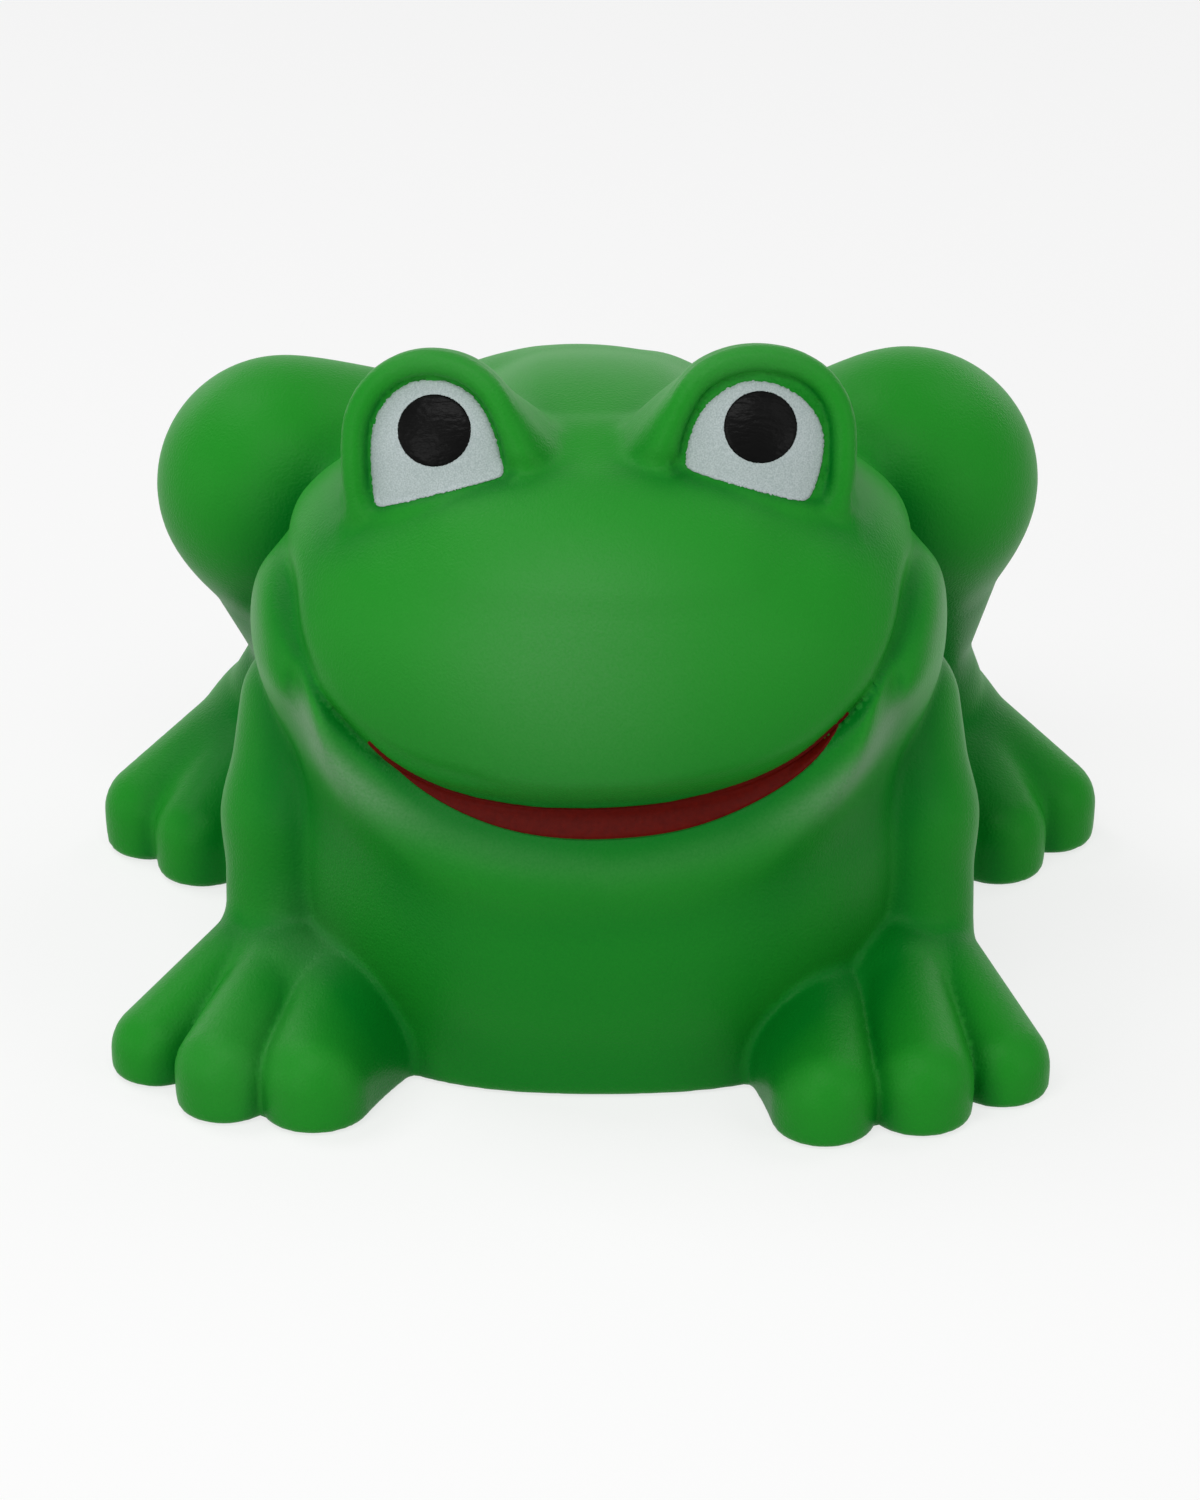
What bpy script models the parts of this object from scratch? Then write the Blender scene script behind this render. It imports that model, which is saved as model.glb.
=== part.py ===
"""Frog squeeze toy: a soft foam core inside a dense moulded skin, with printed eyes and mouth.

The skin is one moulding with the pour hole of its mould underneath. The foam that was poured through
that hole fills it. The eye whites, the pupils and the mouth are coats of print in shallow seats.
The frog faces -Y, its own left is +X, and it sits on the plane Z = 0.
"""

import math

import bmesh
import bpy
from mathutils import Matrix, Vector

MM = 0.001
SIDES = (("left", 1), ("right", -1))

# Trunk: an upright barrel of a belly with the rump behind it.
BELLY_WIDTH = 51 * MM
BELLY_LENGTH = 58.6 * MM
BELLY_HEIGHT = 60 * MM
BELLY_MIDDLE_Z = 14 * MM
RUMP_WIDTH = 48 * MM
RUMP_LENGTH = 48 * MM
RUMP_HEIGHT = 48 * MM
RUMP_MIDDLE_Y = 10 * MM
RUMP_MIDDLE_Z = 20 * MM

# Head: a muzzle dome that sits in the jaw like an egg in its cup, with a cheek at each side.
HEAD_WIDTH = 51.8 * MM
HEAD_MIDDLE_Y = -10 * MM
JAW_LENGTH = 40 * MM
JAW_HEIGHT = 38 * MM
JAW_MIDDLE_Z = 29.5 * MM
MUZZLE_INSET = 1.1 * MM
MUZZLE_LENGTH = 42.8 * MM
MUZZLE_HEIGHT = 36 * MM
MUZZLE_MIDDLE_Z = 32.2 * MM
CHEEK_WIDTH = 6.4 * MM
CHEEK_LENGTH = 14.4 * MM
CHEEK_HEIGHT = 12.8 * MM
CHEEK_PROUD = 0.5 * MM
CHEEK_Y = -11 * MM
CHEEK_Z = 33.4 * MM

# Eyes: hoods on the brow, each with a rolled rim around a D-shaped print on a dome, and a round pupil.
EYE_SPACING = 22.7 * MM
EYE_MIDDLE_Y = -11.9 * MM
EYE_MIDDLE_Z = 46.8 * MM
EYE_TILT_UP = math.radians(14)
EYE_TURN_OUT = math.radians(8)
EYE_DOME_RADIUS = 9 * MM
EYE_DOME_TOP = 6.9 * MM
EYE_WHITE_WIDTH = 10.2 * MM
EYE_WHITE_HEIGHT = 11 * MM
EYE_WHITE_CHORD = 2.9 * MM
EYE_WHITE_SLANT = math.radians(16.5)
PUPIL_DIAMETER = 5.4 * MM
PUPIL_RISE = 1.8 * MM
PUPIL_INWARDS = 0.3 * MM
RIM_WIDTH = 2.5 * MM
RIM_RISE = 1 * MM
HOOD_DEPTH = 11 * MM
HOOD_TAPER = 2.2 * MM

# Mouth: a groove along a smile, half a superellipse hung from the cheeks, with the red print in it.
SMILE_INSET = 3.5 * MM
SMILE_TOP_Z = 40 * MM
SMILE_DROP = 15 * MM
SMILE_ROUNDNESS = 2.6
GROOVE_START = math.radians(14)
GROOVE_RADIUS = 2 * MM
GROOVE_END_RADIUS = 0.6 * MM
LIP_START = math.radians(21)
LIP_BELOW = 5 * MM
LIP_BESIDE = 1.8 * MM
LIP_RADIUS = 2.4 * MM
LIP_PROUD = 0.9 * MM
MOUTH_PRINT_START = math.radians(44)
MOUTH_PRINT_RADIUS = 1.3 * MM
MOUTH_PRINT_END_RADIUS = 0.3 * MM

# Front legs: straight arms outside the belly, each behind an instep.
SHOULDER_SPACING = 44.6 * MM
SHOULDER_Y = -13 * MM
SHOULDER_Z = 23.3 * MM
SHOULDER_RADIUS = 6 * MM
WRIST_SPACING = 47.8 * MM
WRIST_Y = -13.6 * MM
WRIST_Z = 8 * MM
WRIST_RADIUS = 4.5 * MM
INSTEP_SIZE = (12.8 * MM, 12.4 * MM, 14 * MM)
INSTEP_INWARDS = 1.5 * MM
INSTEP_AHEAD = 4.9 * MM
INSTEP_Z = 2 * MM

# Hind legs: a raised knee, a thigh back to the hip and a shin down to the heel.
KNEE_SPACING = 48.1 * MM
KNEE_Y = 9 * MM
KNEE_Z = 34.9 * MM
KNEE_RADIUS = 9.25 * MM
THIGH_SPACING = 37 * MM
THIGH_Y = 11 * MM
THIGH_Z = 33.3 * MM
THIGH_RADIUS = 8.65 * MM
HIP_SPACING = 26 * MM
HIP_Y = 21 * MM
HIP_Z = 24 * MM
HIP_RADIUS = 10.5 * MM
SHIN_SPACING = 46.8 * MM
SHIN_Y = 18 * MM
SHIN_Z = 17 * MM
SHIN_RADIUS = 4.8 * MM
HEEL_SPACING = 50 * MM
HEEL_Y = 22.5 * MM
HEEL_Z = 6.8 * MM
HEEL_RADIUS = 6.7 * MM

# Toes, inner toe first: places in mm outwards from the wrist or heel, ahead of it and above the ground,
# and the radius there. A front toe has a root and a tip, and a hind toe runs from the heel to its tip.
FRONT_TOES = (
    ((-6.1, 8.9, 3.6, 4.8), (-4.7, 16.7, 3.4, 3.8)),
    ((-0.6, 5.8, 4.6, 3.6), (2.0, 15.2, 3.4, 3.8)),
    ((2.6, 2.6, 6.2, 3.5), (7.7, 10.3, 2.0, 3.55)),
)
HIND_TOES = ((0.5, 13.5, 3.8, 3.7), (6.7, 10.3, 3.8, 3.8), (11.3, 5.1, 3.8, 3.7))

# Moulding: the dense skin, the core inside it and the pour hole under the rump.
SKIN_THICKNESS = 3 * MM
CORE_GAP = 0.5 * MM
POUR_HOLE_DIAMETER = 10 * MM
POUR_HOLE_Y = 14 * MM
PRINT_THICKNESS = 0.4 * MM
FIT_GAP = 0.3 * MM

# Fineness of the fused meshes.
SKIN_VOXEL = 0.55 * MM
SKIN_TRIANGLES = 6300
SKIN_SMOOTHING = 8
CORE_VOXEL = 1.0 * MM
CORE_TRIANGLES = 1500
CORE_SMOOTHING = 12
FAR = 100 * MM

GREEN = (0.012, 0.19, 0.018, 1.0)
FOAM = (0.62, 0.66, 0.52, 1.0)
WHITE = (0.62, 0.68, 0.68, 1.0)
BLACK = (0.008, 0.008, 0.008, 1.0)
RED = (0.12, 0.010, 0.006, 1.0)


def clear_scene():
    for old in list(bpy.data.objects):
        bpy.data.objects.remove(old, do_unlink=True)


def coat(name, colour, roughness):
    material = bpy.data.materials.new(name)
    material.use_nodes = True
    shader = material.node_tree.nodes["Principled BSDF"]
    shader.inputs["Base Color"].default_value = colour
    shader.inputs["Roughness"].default_value = roughness
    shader.inputs["Metallic"].default_value = 0.0
    return material


def object_from(bm, name, material=None):
    """An object that holds this bmesh, linked into the scene."""
    mesh = bpy.data.meshes.new(name)
    bm.to_mesh(mesh)
    bm.free()
    mesh.shade_smooth()
    obj = bpy.data.objects.new(name, mesh)
    bpy.context.scene.collection.objects.link(obj)
    if material:
        mesh.materials.append(material)
    return obj


def as_cutter(obj):
    obj.hide_render = True
    obj.display_type = "WIRE"
    return obj


def egg(bm, middle, size):
    """Adds an egg of these full sizes to the bmesh."""
    place = Matrix.Translation(middle) @ Matrix.Diagonal((*[s / 2 for s in size], 1))
    bmesh.ops.create_uvsphere(bm, u_segments=40, v_segments=24, radius=1, matrix=place)


def limb(bm, *balls):
    """Adds the hull around these balls, each a middle and a radius: a tapered limb with round ends."""
    ball = bmesh.new()
    bmesh.ops.create_icosphere(ball, subdivisions=3, radius=1)
    spots = [v.co.copy() for v in ball.verts]
    ball.free()
    points = [bm.verts.new(middle + spot * radius) for middle, radius in balls for spot in spots]
    hull = bmesh.ops.convex_hull(bm, input=points)
    inside = [v for v in hull["geom_interior"] if isinstance(v, bmesh.types.BMVert)]
    bmesh.ops.delete(bm, geom=inside, context="VERTS")


def toe_ball(ankle, side, spot):
    """The middle and radius of one end of a toe, from its place beside and ahead of the ankle."""
    outwards, ahead, height, radius = (value * MM for value in spot)
    return Vector((ankle.x + side * outwards, ankle.y - ahead, height)), radius


def toe(bm, root, tip):
    """Adds a toe from its root to its tip, with an upright front down into the ground."""
    middle, radius = tip
    limb(bm, root, tip, (Vector((middle.x, middle.y, -radius)), radius))


def muzzle():
    """Middle and size of the muzzle's egg."""
    size = (HEAD_WIDTH - 2 * MUZZLE_INSET, MUZZLE_LENGTH, MUZZLE_HEIGHT)
    return Vector((0, HEAD_MIDDLE_Y, MUZZLE_MIDDLE_Z)), Vector(size)


def jaw():
    """Middle and size of the jaw's egg."""
    return Vector((0, HEAD_MIDDLE_Y, JAW_MIDDLE_Z)), Vector((HEAD_WIDTH, JAW_LENGTH, JAW_HEIGHT))


def head_front(x, z):
    """The point of the head's front at this width and height, on whichever egg is further out."""
    fronts = []
    for middle, size in (muzzle(), jaw()):
        share = 1 - (2 * x / size.x) ** 2 - (2 * (z - middle.z) / size.z) ** 2
        fronts.append(middle.y - size.y / 2 * math.sqrt(max(share, 0)))
    return Vector((x, min(fronts), z))


def into_head(point):
    """The level direction from this point towards the middle of the head."""
    return (Vector((0, HEAD_MIDDLE_Y, point.z)) - point).normalized()


def smile_line(start, beside=0, below=0, count=33):
    """Points with their angles along half a superellipse on the head's front, from start to its mirror."""
    half_width = HEAD_WIDTH / 2 - SMILE_INSET + beside
    power = 2 / SMILE_ROUNDNESS
    line = []
    for i in range(count):
        angle = start + (math.pi - 2 * start) * i / (count - 1)
        x = half_width * math.copysign(abs(math.cos(angle)) ** power, math.cos(angle))
        z = SMILE_TOP_Z - (SMILE_DROP + below) * math.sin(angle) ** power
        line.append((head_front(x, z), angle))
    return line


def swelling(angle, start, middle, end):
    """A radius that swells from end, at the start of the smile and its mirror, to middle."""
    share = math.sin(math.pi * (angle - start) / (math.pi - 2 * start))
    return end + (middle - end) * max(share, 0)


def add_trunk(bm, shrink=0):
    cut = 2 * shrink
    egg(bm, (0, 0, BELLY_MIDDLE_Z), (BELLY_WIDTH - cut, BELLY_LENGTH - cut, BELLY_HEIGHT - cut))
    rump = (0, RUMP_MIDDLE_Y, RUMP_MIDDLE_Z)
    egg(bm, rump, (RUMP_WIDTH - cut, RUMP_LENGTH - cut, RUMP_HEIGHT - cut))


def add_head(bm, shrink=0):
    for middle, size in (muzzle(), jaw()):
        egg(bm, middle, [s - 2 * shrink for s in size])


def add_cheek(bm, side):
    cheek_x = side * (HEAD_WIDTH / 2 + CHEEK_PROUD - CHEEK_WIDTH / 2)
    egg(bm, (cheek_x, CHEEK_Y, CHEEK_Z), (CHEEK_WIDTH, CHEEK_LENGTH, CHEEK_HEIGHT))


def add_lip(bm):
    """A soft ridge under the smile, from cheek to cheek."""
    spots = []
    for point, _ in smile_line(LIP_START, LIP_BESIDE, LIP_BELOW, 15):
        spots.append(point + into_head(point) * (LIP_RADIUS - LIP_PROUD))
    for start, end in zip(spots, spots[1:]):
        limb(bm, (start, LIP_RADIUS), (end, LIP_RADIUS))


def add_front_leg(bm, side):
    shoulder = Vector((side * SHOULDER_SPACING / 2, SHOULDER_Y, SHOULDER_Z))
    wrist = Vector((side * WRIST_SPACING / 2, WRIST_Y, WRIST_Z))
    limb(bm, (shoulder, SHOULDER_RADIUS), (wrist, WRIST_RADIUS))
    instep = (wrist.x - side * INSTEP_INWARDS, wrist.y - INSTEP_AHEAD, INSTEP_Z)
    egg(bm, instep, INSTEP_SIZE)
    for root, tip in FRONT_TOES:
        toe(bm, toe_ball(wrist, side, root), toe_ball(wrist, side, tip))


def add_thigh(bm, side, shrink=0):
    knee = Vector((side * KNEE_SPACING / 2, KNEE_Y, KNEE_Z))
    thigh = Vector((side * THIGH_SPACING / 2, THIGH_Y, THIGH_Z))
    hip = Vector((side * HIP_SPACING / 2, HIP_Y, HIP_Z))
    limb(bm, (knee, KNEE_RADIUS - shrink), (thigh, THIGH_RADIUS - shrink))
    limb(bm, (thigh, THIGH_RADIUS - shrink), (hip, HIP_RADIUS - shrink))
    return knee


def add_hind_leg(bm, side):
    knee = add_thigh(bm, side)
    shin = Vector((side * SHIN_SPACING / 2, SHIN_Y, SHIN_Z))
    heel = Vector((side * HEEL_SPACING / 2, HEEL_Y, HEEL_Z))
    limb(bm, (knee, KNEE_RADIUS), (shin, SHIN_RADIUS))
    limb(bm, (shin, SHIN_RADIUS), (heel, HEEL_RADIUS))
    for tip in HIND_TOES:
        toe(bm, (heel, HEEL_RADIUS), toe_ball(heel, side, tip))


def fuse(obj, voxel, smoothing, triangles):
    """Melts the overlapping shapes of this object into one soft skin of about so many triangles."""
    remesh = obj.modifiers.new("fuse", "REMESH")
    remesh.mode = "VOXEL"
    remesh.voxel_size = voxel
    smooth = obj.modifiers.new("soften", "SMOOTH")
    smooth.factor = 0.5
    smooth.iterations = smoothing
    graph = bpy.context.evaluated_depsgraph_get()
    dense = len(obj.evaluated_get(graph).data.polygons) * 2
    thin = obj.modifiers.new("thin", "DECIMATE")
    thin.ratio = min(1, triangles / dense)


def cut(obj, cutter, name):
    boolean = obj.modifiers.new(name, "BOOLEAN")
    boolean.operation = "DIFFERENCE"
    boolean.object = cutter


def join(obj, other, name):
    boolean = obj.modifiers.new(name, "BOOLEAN")
    boolean.operation = "UNION"
    boolean.object = other


def ground_below(level, name):
    """A block that takes away everything under this level."""
    bm = bmesh.new()
    place = Matrix.Translation((0, 0, level - FAR / 2)) @ Matrix.Diagonal((2 * FAR, 2 * FAR, FAR, 1))
    bmesh.ops.create_cube(bm, size=1, matrix=place)
    return as_cutter(object_from(bm, name))


def upright_round(name, diameter, y, bottom, top):
    bm = bmesh.new()
    place = Matrix.Translation((0, y, (bottom + top) / 2))
    radius, depth = diameter / 2, top - bottom
    bmesh.ops.create_cone(
        bm, cap_ends=True, segments=32, radius1=radius, radius2=radius, depth=depth, matrix=place
    )
    return as_cutter(object_from(bm, name))


def eye_frame(side):
    """The eye's own axes, at its middle: X across the face, Y up the print, Z out of the face."""
    out = Vector((side * math.sin(EYE_TURN_OUT), -math.cos(EYE_TURN_OUT), math.tan(EYE_TILT_UP))).normalized()
    across = Vector((0, 0, 1)).cross(out).normalized()
    up = out.cross(across)
    middle = Vector((side * EYE_SPACING / 2, EYE_MIDDLE_Y, EYE_MIDDLE_Z))
    return Matrix.Translation(middle) @ Matrix((across, up, out)).transposed().to_4x4()


def eye_dome(x, y):
    """Height of the dome under the print at this place on it."""
    return math.sqrt(max(EYE_DOME_RADIUS**2 - x * x - y * y, 0)) - EYE_DOME_RADIUS + EYE_DOME_TOP


def white_reach(angle, side, margin):
    """How far the D of the eye white reaches at this angle: an oval that a slanted chord cuts off below."""
    across, up = EYE_WHITE_WIDTH / 2 + margin, EYE_WHITE_HEIGHT / 2 + margin
    oval = across * up / math.hypot(up * math.cos(angle), across * math.sin(angle))
    towards_chord = math.cos(angle + math.pi / 2 + side * EYE_WHITE_SLANT)
    chord = (EYE_WHITE_CHORD + margin) / towards_chord if towards_chord > 0 else math.inf
    return min(oval, chord)


def add_hood(bm, side, spokes=40):
    """A loft of D-shaped rings: a rolled rim around the print, then back into the head, narrowing."""
    rings = (
        (RIM_WIDTH / 4, RIM_RISE),
        (RIM_WIDTH / 2, RIM_RISE),
        (RIM_WIDTH, 0),
        (RIM_WIDTH, -RIM_WIDTH / 2),
        (RIM_WIDTH - HOOD_TAPER, -HOOD_DEPTH),
    )
    loops = []
    for margin, rise in rings:
        loop = []
        for spoke in range(spokes):
            angle = 2 * math.pi * spoke / spokes
            reach, edge = white_reach(angle, side, margin), white_reach(angle, side, 0)
            spot = Vector((reach * math.cos(angle), reach * math.sin(angle), eye_dome(edge, 0) + rise))
            loop.append(bm.verts.new(eye_frame(side) @ spot))
        loops.append(loop)
    bm.faces.new(loops[0])
    bm.faces.new(loops[-1][::-1])
    for front, back in zip(loops, loops[1:]):
        for s in range(spokes):
            t = (s + 1) % spokes
            bm.faces.new((front[s], back[s], back[t], front[t]))


def domed_plate(name, side, reach, middle, low, high, material=None, rings=5, spokes=40):
    """A plate on the eye's dome, from low to high above it, that reaches reach(angle) from its middle."""
    bm = bmesh.new()

    def point(ring, spoke, level):
        angle = 2 * math.pi * spoke / spokes
        far = reach(angle) * ring / rings
        x, y = middle[0] + far * math.cos(angle), middle[1] + far * math.sin(angle)
        return (x, y, eye_dome(x, y) + level)

    sheets = []
    for level in (low, high):
        centre = bm.verts.new(point(0, 0, level))
        rounds = [[bm.verts.new(point(r, s, level)) for s in range(spokes)] for r in range(1, rings + 1)]
        sheets.append((centre, rounds))
    for (centre, rounds), facing in zip(sheets, (-1, 1)):
        for s in range(spokes):
            t = (s + 1) % spokes
            bm.faces.new((centre, rounds[0][s], rounds[0][t])[::facing])
            for inner, outer in zip(rounds, rounds[1:]):
                bm.faces.new((inner[s], outer[s], outer[t], inner[t])[::facing])
    lower, upper = sheets[0][1][-1], sheets[1][1][-1]
    for s in range(spokes):
        t = (s + 1) % spokes
        bm.faces.new((lower[s], lower[t], upper[t], upper[s]))
    bm.transform(eye_frame(side))
    bmesh.ops.recalc_face_normals(bm, faces=bm.faces)
    return object_from(bm, name, material)


def bead(name, points, radii, material=None):
    """A round bead along these points, with its own radius at each."""
    curve = bpy.data.curves.new(name, "CURVE")
    curve.dimensions = "3D"
    curve.bevel_depth = 1
    curve.bevel_resolution = 3
    curve.use_fill_caps = True
    spline = curve.splines.new("POLY")
    spline.points.add(len(points) - 1)
    for target, point, radius in zip(spline.points, points, radii):
        target.co = (*point, 1)
        target.radius = radius
    obj = bpy.data.objects.new(name, curve)
    bpy.context.scene.collection.objects.link(obj)
    graph = bpy.context.evaluated_depsgraph_get()
    mesh = bpy.data.meshes.new_from_object(obj.evaluated_get(graph))
    bpy.data.objects.remove(obj)
    bm = bmesh.new()
    bm.from_mesh(mesh)
    bmesh.ops.remove_doubles(bm, verts=bm.verts, dist=0.001 * MM)
    bmesh.ops.recalc_face_normals(bm, faces=bm.faces)
    return object_from(bm, name, material)


def groove_radius(angle):
    return swelling(angle, GROOVE_START, GROOVE_RADIUS, GROOVE_END_RADIUS)


def make_core(material):
    bm = bmesh.new()
    shrink = SKIN_THICKNESS + CORE_GAP
    add_trunk(bm, shrink)
    add_head(bm, shrink)
    for _, side in SIDES:
        add_thigh(bm, side, shrink)
    core = object_from(bm, "foam_core", material)
    fuse(core, CORE_VOXEL, CORE_SMOOTHING, CORE_TRIANGLES)
    cut(core, ground_below(SKIN_THICKNESS + CORE_GAP, "core_floor"), "floor")
    return core


def make_cavity(core):
    """The room for the core: its own shape, larger by the gap."""
    room = bpy.data.objects.new("cavity", core.data)
    bpy.context.scene.collection.objects.link(room)
    for source in core.modifiers:
        copy = room.modifiers.new(source.name, source.type)
        for setting in source.bl_rna.properties:
            if not setting.is_readonly:
                setattr(copy, setting.identifier, getattr(source, setting.identifier))
    swell = room.modifiers.new("gap", "DISPLACE")
    swell.mid_level = 0
    swell.strength = CORE_GAP
    return as_cutter(room)


def make_skin(material, cavity):
    bm = bmesh.new()
    add_trunk(bm)
    add_head(bm)
    add_lip(bm)
    for _, side in SIDES:
        add_cheek(bm, side)
        add_hood(bm, side)
        add_front_leg(bm, side)
        add_hind_leg(bm, side)
    skin = object_from(bm, "skin", material)
    fuse(skin, SKIN_VOXEL, SKIN_SMOOTHING, SKIN_TRIANGLES)
    cut(skin, ground_below(0, "ground"), "flat base")
    for name, side in SIDES:
        seat = domed_plate(
            f"eye_seat_{name}",
            side,
            lambda angle, s=side: white_reach(angle, s, FIT_GAP),
            (0, 0),
            -PRINT_THICKNESS - FIT_GAP,
            HOOD_DEPTH,
        )
        cut(skin, as_cutter(seat), seat.name)
    line = smile_line(GROOVE_START)
    groove = bead("mouth_groove", [point for point, _ in line], [groove_radius(angle) for _, angle in line])
    cut(skin, as_cutter(groove), "mouth groove")
    cut(skin, cavity, "cavity")
    hole = upright_round("pour_hole", POUR_HOLE_DIAMETER, POUR_HOLE_Y, -FAR, BELLY_MIDDLE_Z)
    cut(skin, hole, "pour hole")
    return skin


def add_sprue(core):
    """The trimmed end of the pour, in the skin's hole."""
    diameter = POUR_HOLE_DIAMETER - 2 * FIT_GAP
    join(core, upright_round("sprue", diameter, POUR_HOLE_Y, FIT_GAP, BELLY_MIDDLE_Z), "sprue")


def make_eye(name, side, white, black):
    domed_plate(
        f"eye_white_{name}",
        side,
        lambda angle: white_reach(angle, side, 0),
        (0, 0),
        -PRINT_THICKNESS,
        0,
        white,
    )
    domed_plate(
        f"pupil_{name}",
        side,
        lambda angle: PUPIL_DIAMETER / 2,
        (-side * PUPIL_INWARDS, PUPIL_RISE),
        FIT_GAP,
        FIT_GAP + PRINT_THICKNESS,
        black,
    )


def make_mouth(red):
    """A bead of print on the floor of the mouth's groove."""
    spots, radii = [], []
    for point, angle in smile_line(MOUTH_PRINT_START):
        radius = swelling(angle, MOUTH_PRINT_START, MOUTH_PRINT_RADIUS, MOUTH_PRINT_END_RADIUS)
        spots.append(point + into_head(point) * (groove_radius(angle) - FIT_GAP - radius))
        radii.append(radius)
    bead("mouth_print", spots, radii, red)


def main():
    clear_scene()
    core = make_core(coat("soft foam", FOAM, 0.9))
    skin_green = coat("green skin", GREEN, 0.45)
    make_skin(skin_green, make_cavity(core))
    add_sprue(core)
    white, black = coat("white print", WHITE, 0.6), coat("black print", BLACK, 0.3)
    for name, side in SIDES:
        make_eye(name, side, white, black)
    make_mouth(coat("red print", RED, 0.4))


main()
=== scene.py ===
# %% [markdown]
# # A frog to squeeze
#
# The object is a palm-sized squeeze toy: a sitting frog cast in soft foam, with a satin green skin, white
# eyes with black pupils, and a dark red mouth. This lesson builds its looks around the packed CAD part.
# The body has no edges or seams, so it is made as one smooth field in numpy, and the printed details
# are thin plates that are computed on top of it.

# %% Load the frame
import math

import bpy
import numpy as np
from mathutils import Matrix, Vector


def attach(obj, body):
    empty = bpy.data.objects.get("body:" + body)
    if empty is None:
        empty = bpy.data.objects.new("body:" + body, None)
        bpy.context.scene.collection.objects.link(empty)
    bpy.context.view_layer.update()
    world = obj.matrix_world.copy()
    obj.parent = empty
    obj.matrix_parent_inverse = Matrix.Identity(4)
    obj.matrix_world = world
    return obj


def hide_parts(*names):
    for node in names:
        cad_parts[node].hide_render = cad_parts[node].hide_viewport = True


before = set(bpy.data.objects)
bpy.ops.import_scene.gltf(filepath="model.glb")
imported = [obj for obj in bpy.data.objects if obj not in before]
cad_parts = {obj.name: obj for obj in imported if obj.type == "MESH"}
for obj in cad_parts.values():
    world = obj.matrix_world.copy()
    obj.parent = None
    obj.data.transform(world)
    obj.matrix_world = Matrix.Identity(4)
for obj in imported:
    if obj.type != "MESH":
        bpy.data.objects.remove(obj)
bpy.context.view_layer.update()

MM = 0.001
SIDES = (-1, 1)
SIDE_NAMES = {1: "left", -1: "right"}

# %% [markdown]
# ## A field instead of a mesh
#
# A foam casting melts every limb into its neighbour with a soft fillet. Such a shape could be sculpted, or
# made from subdivided boxes, but the fillets would have to be drawn by hand. A distance field gets them
# for free: each lump is a formula that is negative inside and positive outside, and a rounded minimum
# joins two lumps with a fillet of a chosen width. All lengths in the field are millimetres.

# %% Rounded minimum and maximum
def point(*xyz):
    return np.array(xyz, float)


def length(vectors):
    return np.sqrt((vectors * vectors).sum(-1))


def melt(first, second, width):
    """Rounded minimum: the smaller of the two, less width * h * (1 - h) where they are within width."""
    share = np.clip(0.5 + 0.5 * (second - first) / width, 0, 1)
    return second + (first - second) * share - width * share * (1 - share)


def carve(first, second, width):
    """Rounded maximum: what lies in both, with a rounded edge."""
    return -melt(-first, -second, width)


def ease(value, start, end):
    """Smooth step from 0 at start to 1 at end: t^2 (3 - 2 t)."""
    t = np.clip((value - start) / (end - start), 0, 1)
    return t * t * (3 - 2 * t)


def bump(distance, middle, width):
    """Bell curve exp(-((d - middle) / width)^2)."""
    return np.exp(-(((distance - middle) / width) ** 2))


print("melt(0, 0, 2) =", float(melt(np.array(0.0), np.array(0.0), 2.0)))

# %% Lumps
TINY = 1e-9


def egg(p, middle, radii):
    """Ellipsoid: k (k - 1) / |grad k|, with k the length of the point in units of the radii."""
    scaled = (p - middle) / radii
    k = length(scaled)
    return k * (k - 1) / np.maximum(length(scaled / radii), TINY)


def barrel(p, middle, radii, power):
    """Egg whose plan is a superellipse |x|^n + |y|^n = 1, so that it looks fuller at its corners."""
    x, y, z = np.moveaxis(np.abs((p - middle) / radii), -1, 0)
    plan = (x**power + y**power + TINY) ** (1 / power)
    k = np.sqrt(plan * plan + z * z)
    slope_x = plan / k * (x / plan) ** (power - 1) / radii[0]
    slope_y = plan / k * (y / plan) ** (power - 1) / radii[1]
    slope_z = z / k / radii[2]
    return (k - 1) / np.sqrt(slope_x**2 + slope_y**2 + slope_z**2 + TINY)


print("an egg of radius 2 from 5 mm away:", egg(point(5, 0, 0)[None], point(0, 0, 0), point(2, 2, 2)))

# %% Limbs
UPRIGHT = 0.6


def limb(p, start, start_radius, end, end_radius):
    """Hull of two balls: a cone side between the two tangent circles, and the balls beyond them."""
    along = end - start
    square = along @ along
    drop = start_radius - end_radius
    slant = square - drop * drop
    rel = p - start
    y = rel @ along
    z = y - square
    across = rel * square - y[..., None] * along
    x2 = (across * across).sum(-1)
    y2 = y * y * square
    z2 = z * z * square
    turn = np.sign(drop) * drop * drop * x2
    side = (np.sqrt(x2 * slant / square) + y * drop) / square - start_radius
    side = np.where(np.sign(y) * slant * y2 < turn, np.sqrt(x2 + y2) / square - start_radius, side)
    return np.where(np.sign(z) * slant * z2 > turn, np.sqrt(x2 + z2) / square - end_radius, side)


def standing(p, level):
    """The points with their depth under level cut by this share, so that a ball bulges to the ground."""
    lifted = p.copy()
    lifted[..., 2] += UPRIGHT * np.maximum(level - lifted[..., 2], 0)
    return lifted


def toe(p, start, end):
    """Limb from start to end, each given as x, y, z and radius, with upright sides near the ground."""
    return limb(standing(p, end[2]), point(*start[:3]), start[3], point(*end[:3]), end[3])


print("a toe seen from 3 mm above:", toe(point(0, 0, 5)[None], (0, 0, 1, 1), (9, 0, 1, 1)))

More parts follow.
